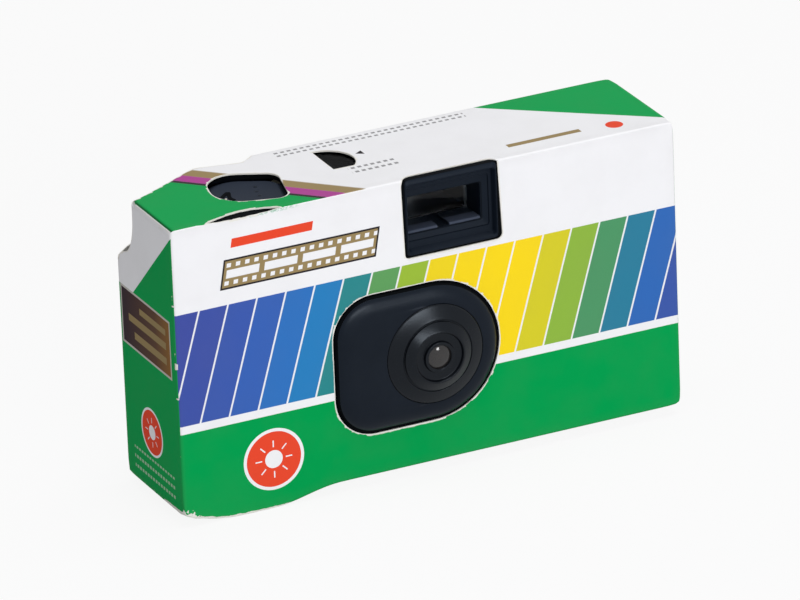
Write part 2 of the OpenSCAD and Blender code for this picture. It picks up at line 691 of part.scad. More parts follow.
module sprocket() color("ivory") place() union() {
    rod(sprocket_x, sprocket_y, sprocket_z - 4.8, counter_z1, shaft_r);
    translate([sprocket_x, sprocket_y, 0])
        prism(teeth(8, sprocket_r, sprocket_r - 1.2, 0), sprocket_z - 0.8, sprocket_z + 0.8);
    prism(bar([sprocket_x, sprocket_y], [sprocket_x + finger_r, sprocket_y], 1), counter_z0, counter_z1);
}

module metering_cam() color("ivory") place() difference() {
    union() {
        difference() {
            rod(sprocket_x, sprocket_y, low_z0, low_z1, 4.2);
            slab(sprocket_x - 1, sprocket_x + 1, sprocket_y - 6, sprocket_y - 3.2, low_z0 - 1, low_z1 + 1);
        }
        rod(sprocket_x, sprocket_y, low_z1 - 0.2, high_z1, 2.6);
    }
    rod(sprocket_x, sprocket_y, low_z0 - 1, high_z1 + 1, shaft_r + 0.02);
}

module counter_disc() color("white") place() difference() {
    union() {
        translate([counter_x, counter_y, 0])
            prism(teeth(counter_teeth, counter_r, counter_r - 0.6, 0), counter_z0, counter_z1);
        rod(counter_x, counter_y, plate_z1 + 0.2, counter_z0 + 0.2, post_r + 1);
    }
    rod(counter_x, counter_y, plate_z1 - 1, counter_z1 + 1, post_r + run_gap);
}

module counter_window() color("lightblue") place() union() {
    prism(counter_outline(0.35), roof_z - 0.4, shell_top - 0.1);
    prism(counter_outline(1.1), roof_z - 0.7, roof_z - 0.1);
}

module mechanism_plate() color("slategray") place() difference() {
    union() {
        slab(cass_x + wheel_r + 0.6, finder_x0 - 0.6, 4, carton_d - inner_off - 3.4, plate_z0, plate_z1);
        rod(counter_x, counter_y, plate_z1 - 0.2, counter_z1 - 0.1, post_r);
    }
    rod(sprocket_x, sprocket_y, plate_z0 - 1, plate_z1 + 1, shaft_r + run_gap);
    rod(stem_x, stem_y, plate_z0 - 1, plate_z1 + 1, stem_r + free_gap);
}

// Thumbwheel

module thumbwheel() color("dimgray") place() difference() {
    union() {
        rod(cass_x, cass_y, wheel_z0, wheel_z1, wheel_r);
        translate([cass_x, cass_y, 0]) prism(teeth(18, 8, 7.2, 0.4), deck_z1 + free_gap, wheel_z0 + 0.2);
        rod(cass_x, cass_y, cass_z1 + 0.3, wheel_z0 + 0.2, hub_r);
        difference() {
            rod(cass_x, cass_y, cass_z1 - 4.5, cass_z1 + 0.5, 3.3);
            slab(cass_x - 4, cass_x + 4, cass_y - 1, cass_y + 1, cass_z1 - 5, cass_z1 - 0.4);
        }
    }
    for (i = [0 : wheel_grooves - 1])
        rod(cass_x + (wheel_r + 0.15) * cos(360 * i / wheel_grooves),
            cass_y + (wheel_r + 0.15) * sin(360 * i / wheel_grooves), wheel_z0 - 1, wheel_z1 + 1, 0.55);
    rod(cass_x, cass_y, wheel_z1 - 1.6, wheel_z1 + 1, wheel_r - 2.4);
}

module ratchet_pawl() color("gray") place() union() {
    rod(cass_x + 8.5, cass_y - 7.5, deck_z1, deck_z1 + 1.2, 1.5);
    prism(bar([cass_x + 8.5, cass_y - 7.5], [cass_x + 8.4, cass_y - 0.2], 0.7),
        deck_z1 + free_gap, deck_z1 + 1.2);
}

carton();
front_cover();
rear_cover();
cassette_lid();
roll_lid();
main_body();
panorama_mask();
lens_hood();
front_lens();
stop_plate();
rear_lens();
lens_retainer();
shutter_blade();
shutter_spring();
finder_barrel();
finder_front_lens();
finder_eyepiece();
shutter_button();
metering_lever();
metering_spring();
drive_lever();
drive_spring();
sprocket();
metering_cam();
counter_disc();
counter_window();
mechanism_plate();
thumbwheel();
ratchet_pawl();
cassette_shell();
cassette_top_cap();
cassette_bottom_cap();
cassette_spool();
cassette_felts();
film_strip();
film_roll();
supply_spool();
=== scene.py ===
import json
import math
from functools import partialmethod

import bmesh
import bpy
import numpy as np
from mathutils import Matrix, Vector
from mathutils.geometry import delaunay_2d_cdt


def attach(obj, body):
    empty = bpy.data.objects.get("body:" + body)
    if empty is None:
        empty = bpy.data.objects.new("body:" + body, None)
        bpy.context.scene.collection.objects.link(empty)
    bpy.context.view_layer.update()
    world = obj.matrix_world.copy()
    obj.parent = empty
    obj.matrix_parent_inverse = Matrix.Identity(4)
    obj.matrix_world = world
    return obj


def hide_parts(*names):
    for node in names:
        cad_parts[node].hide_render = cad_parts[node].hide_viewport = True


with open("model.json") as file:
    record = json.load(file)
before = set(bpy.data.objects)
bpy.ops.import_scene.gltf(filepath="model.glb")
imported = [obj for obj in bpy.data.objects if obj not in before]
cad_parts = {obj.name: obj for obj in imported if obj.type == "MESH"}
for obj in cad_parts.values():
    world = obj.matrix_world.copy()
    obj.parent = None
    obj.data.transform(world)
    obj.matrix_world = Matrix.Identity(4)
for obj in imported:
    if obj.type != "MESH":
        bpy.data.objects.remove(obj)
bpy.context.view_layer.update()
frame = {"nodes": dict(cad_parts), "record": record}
print("frame loaded:", len(frame["nodes"]), "nodes")

mm = 0.001
quarter = math.pi / 2
tiny = 1e-12
boxOrigin = np.array([-58.0, -12.3, 2.4])  # box millimetres count from the carton's front left base corner
lensX, lensZ = 58.0, 25.2


def toFrame(points):  # box millimetres to metres in the part's frame
    return (np.asarray(points, float).reshape(-1, 3) + boxOrigin) * mm


def unit(v):
    return v / np.maximum(np.linalg.norm(v, axis=-1, keepdims=True), tiny)


# Shapes

def roundedLine(corners, steps):  # closed outline of x, y, fillet radius; each arc turns about its fillet's centre
    p = np.asarray(corners, float)
    q, r = p[:, :2], p[:, 2]
    a, b = unit(np.roll(q, 1, 0) - q), unit(np.roll(q, -1, 0) - q)
    half = np.arccos(np.clip((a * b).sum(1), -1, 1)) / 2
    start = q + a * (r / np.tan(half))[:, None]
    centre = q + unit(a + b) * (r / np.sin(half))[:, None]
    way = np.sign(a[:, 0] * b[:, 1] - a[:, 1] * b[:, 0])
    t = (-way * (math.pi - 2 * half))[:, None] * np.linspace(0, 1, steps + 1)
    d = (start - centre)[:, None, :]
    arc = np.stack([d[..., 0] * np.cos(t) - d[..., 1] * np.sin(t),
                    d[..., 0] * np.sin(t) + d[..., 1] * np.cos(t)], -1)
    line = (centre[:, None, :] + arc).reshape(-1, 2)
    return line[np.linalg.norm(line - np.roll(line, 1, 0), axis=1) > 1e-6]  # doubled points dropped


def roundedBox(x0, x1, y0, y1, r, steps):  # rectangle with four equal fillets
    return roundedLine([[x0, y0, r], [x1, y0, r], [x1, y1, r], [x0, y1, r]], steps)


def softLine(points, times=3):  # open line whose corners are cut at a quarter of each side, over and over
    p = np.asarray(points, float)
    for _ in range(times):
        cut = np.stack([0.75 * p[:-1] + 0.25 * p[1:], 0.25 * p[:-1] + 0.75 * p[1:]], 1).reshape(-1, p.shape[1])
        p = np.concatenate([p[:1], cut[1:-1], p[-1:]])
    return p


def evenLine(points, step, closed=True):  # the same line with points at equal distances along it
    p = np.concatenate([points, points[:1]]) if closed else np.asarray(points, float)
    run = np.concatenate([[0], np.cumsum(np.linalg.norm(np.diff(p, axis=0), axis=1))])
    count = max(int(round(run[-1] / step)), 3)
    at = np.linspace(0, run[-1], count + 1)
    line = np.stack([np.interp(at, run, p[:, k]) for k in range(p.shape[1])], 1)
    return line[:-1] if closed else line


def fullTurn(steps):
    return np.linspace(0, 2 * np.pi, steps, endpoint=False)


def onCircle(x, y, r, t):
    return np.stack([x + r * np.cos(t), y + r * np.sin(t)], 1)


def outwardOf(line):  # unit normals of a closed anticlockwise outline, from the chord across each point
    chord = unit(np.roll(line, -1, 0) - np.roll(line, 1, 0))
    return np.stack([chord[:, 1], -chord[:, 0]], 1)


def insideOutline(points, line):  # even-odd rule: counts the outline's edges to the right of each point
    a, b = line, np.roll(line, -1, 0)
    px, py = points[:, :1], points[:, 1:2]
    spans = (a[:, 1] > py) != (b[:, 1] > py)
    rise = np.where(b[:, 1] == a[:, 1], tiny, b[:, 1] - a[:, 1])
    crossing = a[:, 0] + (py - a[:, 1]) * (b[:, 0] - a[:, 0]) / rise
    return (spans & (px < crossing)).sum(1) % 2 == 1


def reachOf(points, line):  # distance from each point to the nearest edge of a closed outline
    a, d = line, np.roll(line, -1, 0) - line
    t = np.clip(((points[:, None] - a) * d).sum(-1) / np.maximum((d * d).sum(-1), tiny), 0, 1)
    return np.linalg.norm(points[:, None] - a - d * t[..., None], axis=-1).min(1)


def bell(distance, wide):  # 1 at no distance, fading as a bell curve
    return np.exp(-(distance / wide) ** 2)


def gridFaces(rows, cols, closeRows=False, closeCols=True):  # quads of a rows by cols grid of points
    r, c = np.meshgrid(np.arange(rows if closeRows else rows - 1),
                       np.arange(cols if closeCols else cols - 1), indexing="ij")
    n, e = (r + 1) % rows, (c + 1) % cols
    return np.stack([r * cols + c, r * cols + e, n * cols + e, n * cols + c], -1).reshape(-1, 4)


seal = {"near": 2e-6, "sliver": 1e-7}  # metres within which points become one


def place(name, data):  # a new object in the scene
    thing = bpy.data.objects.new(name, data)
    bpy.context.scene.collection.objects.link(thing)
    return thing


def makePiece(name, points, faces, materials, slot, body="camera", faceSlots=None, stands=(), tidy=True, crease=38):
    mesh = bpy.data.meshes.new(name)
    mesh.from_pydata(points, [], faces)
    if faceSlots is not None:
        mesh.polygons.foreach_set("material_index", np.asarray(faceSlots, np.int32))
    if tidy:  # poles and seams merged, faces turned outwards
        work = bmesh.new()
        work.from_mesh(mesh)
        bmesh.ops.remove_doubles(work, verts=work.verts, dist=seal["near"])
        bmesh.ops.dissolve_degenerate(work, edges=work.edges, dist=seal["sliver"])
        bmesh.ops.recalc_face_normals(work, faces=work.faces)
        work.to_mesh(mesh)
        work.free()
    mesh.polygons.foreach_set("use_smooth", np.ones(len(mesh.polygons), bool))
    mesh.set_sharp_from_angle(angle=math.radians(crease))
    for material in materials:
        mesh.materials.append(material)
    piece = place(name, mesh)
    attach(piece, body)
    for node in stands:
        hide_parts(node)
    print("piece", name, len(mesh.polygons), "faces")
    return piece


def makeGrid(name, block, finish, slot, closed=True, **more):  # one piece from a grid of points
    return makePiece(name, toFrame(block), gridFaces(*block.shape[:2], closeRows=closed), [finish], slot, **more)


# Shader sums

inkEdge = 0.06  # width over which printed edges blend


class Wire:  # a socket that takes part in sums
    def __init__(self, tree, socket=None):
        self.tree, self.socket = tree, socket

    def make(self, kind, settings=None, inputs=None, out=0):
        node = self.tree.nodes.new("ShaderNode" + kind)
        for key, value in (settings or {}).items():
            if key == "stops":
                elements = node.color_ramp.elements
                elements.remove(elements[1])
                elements[0].position, elements[0].color = value[0]
                for at, tint in value[1:]:
                    elements.new(at).color = tint
            else:
                setattr(node, key, value)
        for key, value in (inputs or {}).items():
            if isinstance(value, Wire):
                self.tree.links.new(value.socket, node.inputs[key])
            else:
                node.inputs[key].default_value = value
        return Wire(self.tree, node.outputs[out]) if len(node.outputs) else None

    def sum(self, operation, *terms, clamp=False):  # this socket and the other terms
        return self.make("Math", {"operation": operation, "use_clamp": clamp}, dict(enumerate((self, *terms))))

    def __rsub__(self, other):
        return self.sum("MULTIPLY_ADD", -1.0, other)

    __add__ = __radd__ = partialmethod(sum, "ADD")
    __mul__ = __rmul__ = partialmethod(sum, "MULTIPLY")
    __sub__, __truediv__ = partialmethod(sum, "SUBTRACT"), partialmethod(sum, "DIVIDE")
    __pow__, atLeast = partialmethod(sum, "POWER"), partialmethod(sum, "MAXIMUM")
    size, floor = partialmethod(sum, "ABSOLUTE"), partialmethod(sum, "FLOOR")

    def share(self, pitch):  # how far along its own repeat, 0 to 1
        turns = self / pitch
        return turns - turns.floor()

    def step(self, at, soft=inkEdge):  # 0 below, 1 above, with a soft edge
        return self.sum("MULTIPLY_ADD", 1 / soft, 0.5 - at / soft, clamp=True)

    def below(self, at, soft=inkEdge):  # 1 below, 0 above
        return 1 - self.step(at, soft)

    def band(self, low, high, soft=inkEdge):
        return self.step(low, soft) * self.below(high, soft)

    def bands(self, first, *others):  # any of several bands
        mask = self.band(*first)
        for span in others:
            mask = mask.atLeast(self.band(*span))
        return mask

    def over(self, under, tint):  # this mask lays tint over a colour
        return self.make("Mix", {"data_type": "RGBA"}, {0: self, 6: under, 7: tint}, 2)

    def ramp(self, *stops):
        return self.make("ValToRGB", {"stops": [(at, tone(*ink)) for at, ink in stops]}, {0: self})

    def noise(self, spot, scale, detail=3.0, rough=0.55):
        return self.make("TexNoise", None, {"Vector": spot, "Scale": scale, "Detail": detail, "Roughness": rough})

    def attribute(self, name):
        return self.make("Attribute", {"attribute_name": name}, None, 2)


def tone(red, green, blue):  # colour written as it shows on a screen
    level = np.array([red, green, blue]) / 255
    return (*np.where(level <= 0.04045, level / 12.92, ((level + 0.055) / 1.055) ** 2.4).tolist(), 1.0)


def newFinish(name):
    material = bpy.data.materials.new(name)
    material.use_nodes = True
    material.node_tree.nodes.clear()
    wire = Wire(material.node_tree)
    return material, wire, wire.make("TexCoord", None, None, "Object")


def boxSpot(wire, spot):  # x, y and z in box millimetres
    part = [wire.make("SeparateXYZ", None, {0: spot}, k) for k in range(3)]
    return [p.sum("MULTIPLY_ADD", 1 / mm, -o) for p, o in zip(part, boxOrigin.tolist())]


def closeFinish(wire, base, rough, relief, depth, **fixed):
    bump = wire.make("Bump", None, {"Strength": 1.0, "Distance": depth, "Height": relief})
    inputs = {"Base Color": base, "Roughness": rough, "Normal": bump}
    inputs.update({key.replace("_", " "): value for key, value in fixed.items()})
    wire.make("OutputMaterial", None, {"Surface": wire.make("BsdfPrincipled", None, inputs)})


# Camera at the photograph's angle

viewFrom = {"azimuth": -25.078, "elevation": 23.163, "roll": -2.248, "distance": 1.9721, "focal": 9470.3,
            "aside": (30.04, 19.18), "aim": (0.0, -0.0123, 0.0347), "sensor": 36.0, "width": 800, "clip": (0.05, 30)}


def makeCamera():
    az, el, roll = (math.radians(viewFrom[k]) for k in ("azimuth", "elevation", "roll"))
    back = np.array([math.sin(az) * math.cos(el), -math.cos(az) * math.cos(el), math.sin(el)])
    right = unit(np.cross(-back, [0, 0, 1]))
    up = np.cross(right, -back)
    right, up = math.cos(roll) * right + math.sin(roll) * up, math.cos(roll) * up - math.sin(roll) * right
    asideX, asideY = (pixels / viewFrom["focal"] for pixels in viewFrom["aside"])
    ahead = unit(-back - right * asideX + up * asideY)
    right = unit(right - ahead * (right @ ahead))
    turn = np.eye(4)
    turn[:3, :3] = np.stack([right, np.cross(right, ahead), -ahead], 1)
    turn[:3, 3] = np.array(viewFrom["aim"]) + back * viewFrom["distance"]
    data = bpy.data.cameras.new("viewpoint")
    data.sensor_width = viewFrom["sensor"]
    data.lens = viewFrom["focal"] * viewFrom["sensor"] / viewFrom["width"]
    data.clip_start, data.clip_end = viewFrom["clip"]
    camera = place("viewpoint", data)
    camera.matrix_world = Matrix(turn.tolist())
    bpy.context.scene.camera = camera
    print("camera placed")


makeCamera()


# Printed card: one sheet over two parameters, a along the width and s round the loop of the four panels

card = {"width": 116.0, "height": 64.6, "depth": 29.0, "thick": 0.32, "fold": 0.45,
        "leftFolds": (0.7, 1.1, 1.5, 0.8), "rightFolds": (0.5, 1.0, 2.4, 1.8),  # front, top, back, base
        "pitch": 1.7, "margin": 0.3, "edgeStep": 0.45, "fineStep": 0.2, "clear": 0.28, "foldRows": 7, "endRows": 9,
        "belly": (2.4, 14.0, 20.0, 36.5),  # drop, then where its land starts, ends, and where the base is flat again
        "bellyFade": (1.0, 7.5), "blunt": 0.14, "sag": 0.04, "crumple": 0.3,
        "seam": 0.22, "seamLine": (-0.38, 0.13, 0.3), "seamEdge": (0.3, 1.2),
        "creaseWide": 0.75, "endCrease": 0.5, "rimWide": 0.3, "endStart": 1.5, "weld": 0.03}
cuts = {"boss": (22.4, 15.5, 9.0, 0.01), "bossGap": 0.2, "bossShift": (0.2, -0.2),
           "finder": ((52.95, 0.8), (75.5, 1.2), (74.7, 2.5), (52.5, 3.2)), "finderLow": 46.9, "finderLip": 1.85,
           "slit": (16.7, 8.9, 2.55, 0.5), "slitLean": 0.18, "tear": ((0.07, 41, 0), (0.05, 97, 1)),
           "button": ((14.6, 8.5, 7.0), (29.3, 4.1, 2.8), (32.5, 17.5, 3.4), (18.2, 24.9, 6.0)),
           "fibre": ((16.1, 9.5, 1.0), (15.55, 10.3, -0.45)), "fibreWide": 0.12, "fibrePull": (1.15, 0.75),
           "counter": (43.4, 17.46), "counterArc": (6.5, -44, 90), "counterTip": 13.1,
           "eyepiece": (57.0, 69.0, 51.2, 59.8, 1.5), "foot": (101.7, 16.96, 6.3)}
notch = {"foot": 51.0, "top": ((0, 19.9), (0.8, 19.2), (1.6, 19.3), (3, 20.0), (6, 21.6), (10.6, 24.2), (15, 26.8),
                               (17.6, 28.2), (18.9, 28.5), (20.5, 28.1), (24.5, 27.2), (27.2, 26.6), (28.4, 26.4),
                               (29.4, 26.8), (30.7, 27.9), (32, 28.8), (32.5, 29)),  # x and y
         "drop": ((32.5, 12.9), (32.5, 6.0), (32.2, 0.4), (31, 0), (20, 0), (6, 0), (3.4, -0.2), (1.6, -1.4),
                  (1.2, -1.8)),  # x, and height over the foot
         "mouth": ((0, 61.5), (0.1, 59), (0.7, 56.3), (1.9, 53.8), (3.6, 52.0)),  # y behind the top's edge, and z
         "lip": ((24.4, 51.3), (26.0, 50.7), (27.0, 49.9))}  # y and z


sideRuns = [run for key in ("height", "depth") for run in (card[key] - 2 * card["fold"], quarter * card["fold"])]
runs = np.concatenate([[0], np.cumsum(sideRuns * 2)])  # where each side and fold of the loop starts
foldMiddles = (runs[1:8:2] + runs[2:9:2]) / 2


def loopPoint(s):  # rounded rectangle walked up the front, over the top, down the back and along the base
    h, d, r = card["height"], card["depth"], card["fold"]
    k = np.clip(np.searchsorted(runs, s, side="right") - 1, 0, 7)
    side, t = k // 2, s - runs[k]
    turn = np.where(k % 2 == 1, t / r, 0.0)
    flat = np.where(k % 2 == 1, (runs[1:] - runs[:-1])[side * 2], t)
    start = np.array([[0, r], [r, h], [d, h - r], [d - r, 0]])[side]
    along = np.array([[0, 1], [1, 0], [0, -1], [-1, 0]])[side]
    out = np.array([[-1, 0], [0, 1], [1, 0], [0, -1]])[side]
    normal = out * np.cos(turn)[..., None] + along * np.sin(turn)[..., None]
    return start + along * flat[..., None] - out * r + normal * r, normal


def endFolds(s):  # radius of the left and the right end fold along the loop, blended round its corners
    return [np.interp(s, runs, [*np.repeat(card[key], 2), card[key][0]]) for key in ("leftFolds", "rightFolds")]


def belly(x):  # quarter sine down to the land, then half a cosine back up
    drop, rise, land, end = card["belly"]
    down = np.sin(quarter * np.clip(x / rise, 0, 1))
    back = (1 + np.cos(np.pi * np.clip((x - land) / (end - land), 0, 1))) / 2
    return -drop * down * back


def seamAt(a, s):  # the end flap's free edge under the left end of the top panel, as a bell curve across it
    middle, wide, spare = card["seamLine"]
    return bell(a - middle, wide) * ((s > runs[2] - spare) & (s < runs[3] + spare))


# a from -1 to 0 and from width to width + 1 turns round an end fold, which draws the loop in by its radius
def cardPoint(a, s):
    w, h, d = card["width"], card["height"], card["depth"]
    p, n = loopPoint(s)
    left, right = endFolds(s)
    fl, fr = np.clip(-a, 0, 1) * quarter, np.clip(a - w, 0, 1) * quarter
    x = left + (w - left - right) * np.clip(a, 0, w) / w - left * np.sin(fl) + right * np.sin(fr)
    front, top, back, base = (onLeft * (1 - np.cos(fl)) + onRight * (1 - np.cos(fr))
                              for onLeft, onRight in zip(card["leftFolds"], card["rightFolds"]))
    y = front + p[..., 0] / d * (d - front - back)
    z = base + p[..., 1] / h * (h - base - top)
    low, fade = card["bellyFade"]
    z = z + belly(x) * np.clip(1 - (z - low) / fade, 0, 1)
    c = np.cos(fl + fr)
    out = unit(np.stack([np.sin(fr) - np.sin(fl), n[..., 0] * c, n[..., 1] * c], -1))
    return np.stack([x, y, z], -1) - out * (card["seam"] * seamAt(a, s))[..., None], out


def across(x, s):  # the width parameter of a box x
    w = card["width"]
    left, right = endFolds(s)
    inEnd = -np.arcsin(np.clip(1 - x / left, 0, 1)) / quarter
    return np.where(x < left, inEnd, w * (x - left) / (w - left - right))


def frontRun(z):
    h, r = card["height"], card["fold"]
    return np.where(z > h - r, runs[1] + r * np.arcsin(np.clip((z - h + r) / r, 0, 1)), z - r)


def topRun(y):
    d, r = card["depth"], card["fold"]
    over = runs[3] + r * np.arcsin(np.clip((y - d + r) / r, 0, 1))
    under = runs[1] + r * np.arccos(np.clip(1 - y / r, -1, 1))
    return np.where(y < r, under, np.where(y > d - r, over, runs[2] + y - r))


def backRun(z):
    return runs[4] + card["height"] - card["fold"] - z


def baseRun(y):
    return runs[6] + card["depth"] - card["fold"] - y


def onSheet(line, run):  # a line drawn on one panel, in the sheet's own two parameters
    s = run(line[:, 1])
    return np.stack([across(line[:, 0], s), s], 1)


def bossLine(grow, steps=14):  # half a circle on the right, two smaller fillets on the left
    left, r, c, spare = cuts["boss"]
    x0, x1, z0, z1 = lensX - left - grow, lensX + r + grow, lensZ - r - grow, lensZ + r + grow
    small, large = c + grow, r + grow - spare
    return roundedLine([[x0, z0, small], [x1, z0, large], [x1, z1, large], [x0, z1, small]], steps)


def buttonLine(grow, steps=10):
    corners = np.array(cuts["button"])
    corners[:, :2] += np.array([[-1, -1], [1, -1], [1, 1], [-1, 1]]) * grow
    corners[:, 2] += grow / 2
    return roundedLine(corners, steps)


def counterLine():  # an arc about the disc's axis, closed to a tip in front of it
    (x, y), (radius, first, last) = cuts["counter"], cuts["counterArc"]
    t = np.radians(np.linspace(first, last, 40))
    return np.concatenate([[[x, cuts["counterTip"]]], onCircle(x, y, radius, t)])


def slitLine():  # a leaning parabola on the top and a flatter, mirrored one on the front, with edges that wander
    mid, half, deep, low = cuts["slit"]
    t = np.linspace(0, 1, 48)
    aside = 2 * t - 1
    shape = (1 - aside ** 2) * (1 + cuts["slitLean"] * aside)
    torn = sum(size * np.sin(pace * t + start) for size, pace, start in cuts["tear"])
    onTop = onSheet(np.stack([mid + half * aside, np.maximum((deep + torn) * shape, 0.02)], 1), topRun)
    onFront = onSheet(np.stack([mid - half * aside, card["height"] - (low + torn) * shape], 1)[1:-1], frontRun)
    return np.concatenate([onFront[::-1], onTop[::-1]])


def notchLines():  # the thumb cut: over the top, down the back, and out at the left end
    top = onSheet(softLine(notch["top"]), topRun)
    back = onSheet(softLine(np.array(notch["drop"]) + [0, notch["foot"]]), backRun)
    high, low = top[0, 1], back[-1, 1]
    return evenLine(np.concatenate([top, back, [[-1, low], [-1, high]]]), card["edgeStep"]), high, low


def cardWindows():
    s0, s1 = frontRun(np.array(cuts["finderLow"])), topRun(np.array(cuts["finderLip"]))
    finder = roundedLine([[x, s, r] for (x, r), s in zip(cuts["finder"], (s0, s0, s1, s1))], 8)
    button = evenLine(buttonLine(0), card["fineStep"])
    pull = sum(share * np.exp(-((button - [x, y]) ** 2).sum(1) / cuts["fibreWide"]) for x, y, share in cuts["fibre"])
    button = button + pull[:, None] * cuts["fibrePull"]  # a torn fibre hangs in beside the button
    foot = onCircle(*cuts["foot"], fullTurn(64))
    lines = [onSheet(bossLine(cuts["bossGap"]) + cuts["bossShift"], frontRun), onSheet(finder, np.asarray), slitLine(),
             onSheet(button, topRun), onSheet(counterLine(), topRun),
             onSheet(roundedBox(*cuts["eyepiece"], 5), backRun), onSheet(foot, baseRun)]
    return [evenLine(line, card["fineStep" if k == 3 else "edgeStep"]) for k, line in enumerate(lines)]


def cutSheet(spread, border, holes):  # points joined by constrained triangles, with the holes left open
    lines = [border, *holes]
    keep = np.ones(len(spread), bool)
    for line in lines:
        keep &= (reachOf(spread, line) > card["clear"]) & (insideOutline(spread, line) == (line is border))
    starts = np.cumsum([0] + [len(line) for line in lines])
    edges = np.concatenate([np.stack([k + np.arange(len(line)), k + (np.arange(len(line)) + 1) % len(line)], 1)
                            for k, line in zip(starts, lines)])
    points = np.concatenate([*lines, spread[keep]])
    made = delaunay_2d_cdt([Vector(p) for p in points.tolist()], edges.tolist(), [], 0, 1e-6)
    flat, faces = np.array([[v[0], v[1]] for v in made[0]]), np.array(made[2])
    middle = flat[faces].mean(1)
    stay = insideOutline(middle, border)
    for line in holes:
        stay &= ~insideOutline(middle, line)
    return flat, faces[stay]


def rowsOf(length):  # even rows over a flat, with one more row close to each fold
    margin = card["margin"]
    count = max(int(round((length - 2 * margin) / card["pitch"])), 2)
    return np.concatenate([[0], np.linspace(margin, length - margin, count + 1)])


def sortedRows(*rows):
    return np.unique(np.concatenate(rows).round(6))


def wrapSheet(cut, sRows, endRows):  # the four panels and the end folds, cut flat and then folded by cardPoint
    w, turns = card["width"], np.linspace(0, 1, card["endRows"])
    aRows = sortedRows(turns - 1, rowsOf(w), [w], turns + w)
    spread = np.stack(np.meshgrid(aRows, sRows, indexing="ij"), -1).reshape(-1, 2)
    border = np.concatenate([np.stack(np.broadcast_arrays(a, s), 1) for a, s in (
        (aRows[:-1], 0.0), (w + 1, sRows[:-1]), (aRows[:0:-1], runs[-1]), (-1.0, endRows[:0:-1]))])
    holes = [cut, *cardWindows()]
    flat, faces = cutSheet(spread, border, holes)
    a, s = flat.T
    points, normals = cardPoint(a, s)
    fold = np.abs(s[:, None] - foldMiddles)
    fold = np.minimum(fold, runs[-1] - fold).min(1)
    toEnd = np.minimum(points[:, 0], w - points[:, 0])
    crease = np.maximum(bell(fold, card["creaseWide"]), bell(toEnd, card["creaseWide"]))
    shift, strong = card["seamEdge"]
    rim = bell(np.min([reachOf(flat, line) for line in holes], 0), card["rimWide"])
    rim = np.maximum(rim, strong * seamAt(a + shift, s))  # the flap's cut edge shows bare
    middleA, middleS = flat[faces].mean(1).T
    panel = np.searchsorted(foldMiddles, middleS) % 4
    panel = np.where(middleA < -0.5, 4, np.where(middleA > w + 0.5, 5, panel))
    return points, normals, faces, panel, crease, rim, seamAt(a, s)


def endSheet(edge, rows, out, slot, span=()):  # a flat end inside its fold, with the notch's mouth if given
    loop = cardPoint(np.full(len(rows) - 1, edge), rows[:-1])[0][:, 1:]
    grid = [np.arange(card["endStart"], card[key], card["pitch"]) for key in ("depth", "height")]
    holes = []
    if span:
        top, low = cardPoint(np.full(2, edge), np.array(span))[0][:, 1:]
        ring = rows[(rows >= span[0]) & (rows <= span[1])]
        outer = cardPoint(np.full(len(ring), edge), ring)[0][:, 1:]
        mouth = softLine([top, *(np.array(notch["mouth"]) + [top[0], 0]), *notch["lip"], low])
        holes = [np.concatenate([evenLine(mouth, card["edgeStep"], False), outer[::-1][1:-1]])]
    flat, faces = cutSheet(np.stack(np.meshgrid(*grid, indexing="ij"), -1).reshape(-1, 2), loop, holes)
    none = np.zeros(len(flat))
    points = np.column_stack([none + (card["width"] if out > 0 else 0.0), flat])
    rim = bell(reachOf(flat, holes[0]), card["rimWide"]) if holes else none
    return (points, np.tile([out, 0.0, 0.0], (len(flat), 1)), faces, np.full(len(faces), slot),
            bell(reachOf(flat, loop), card["endCrease"]), rim, none)


def cardMesh():
    sides = [runs[k] + (rowsOf(runs[k + 1] - runs[k]) if k % 2 == 0
                        else np.linspace(0, runs[k + 1] - runs[k], card["foldRows"])[:-1]) for k in range(8)]
    cut, high, low = notchLines()
    sRows = sortedRows(*sides, [runs[-1]])
    endRows = sortedRows(sRows, [high, low])
    sheets = [wrapSheet(cut, sRows, endRows), endSheet(-1.0, endRows, -1.0, 4, (high, low)),
              endSheet(card["width"] + 1.0, sRows, 1.0, 5)]
    offset = np.cumsum([0] + [len(sheet[0]) for sheet in sheets])
    sheets = [(*sheet[:2], sheet[2] + k, *sheet[3:]) for sheet, k in zip(sheets, offset)]
    points, normals, faces, panel, crease, rim, seam = (np.concatenate(each) for each in zip(*sheets))
    corner = points[faces]
    facing = (np.cross(corner[:, 1] - corner[:, 0], corner[:, 2] - corner[:, 0]) * normals[faces].mean(1)).sum(1)
    faces = np.where((facing < 0)[:, None], faces[:, ::-1], faces)
    return points, faces, panel, {"out": normals, "crease": crease, "rim": rim, "seam": seam}


def layerKind(values):
    return ("FLOAT_VECTOR", "vector") if values.ndim == 2 else ("FLOAT", "value")


def addLayer(mesh, name, values):
    kind, key = layerKind(values)
    mesh.attributes.new(name, kind, "POINT").data.foreach_set(key, values.astype(np.float32).ravel())


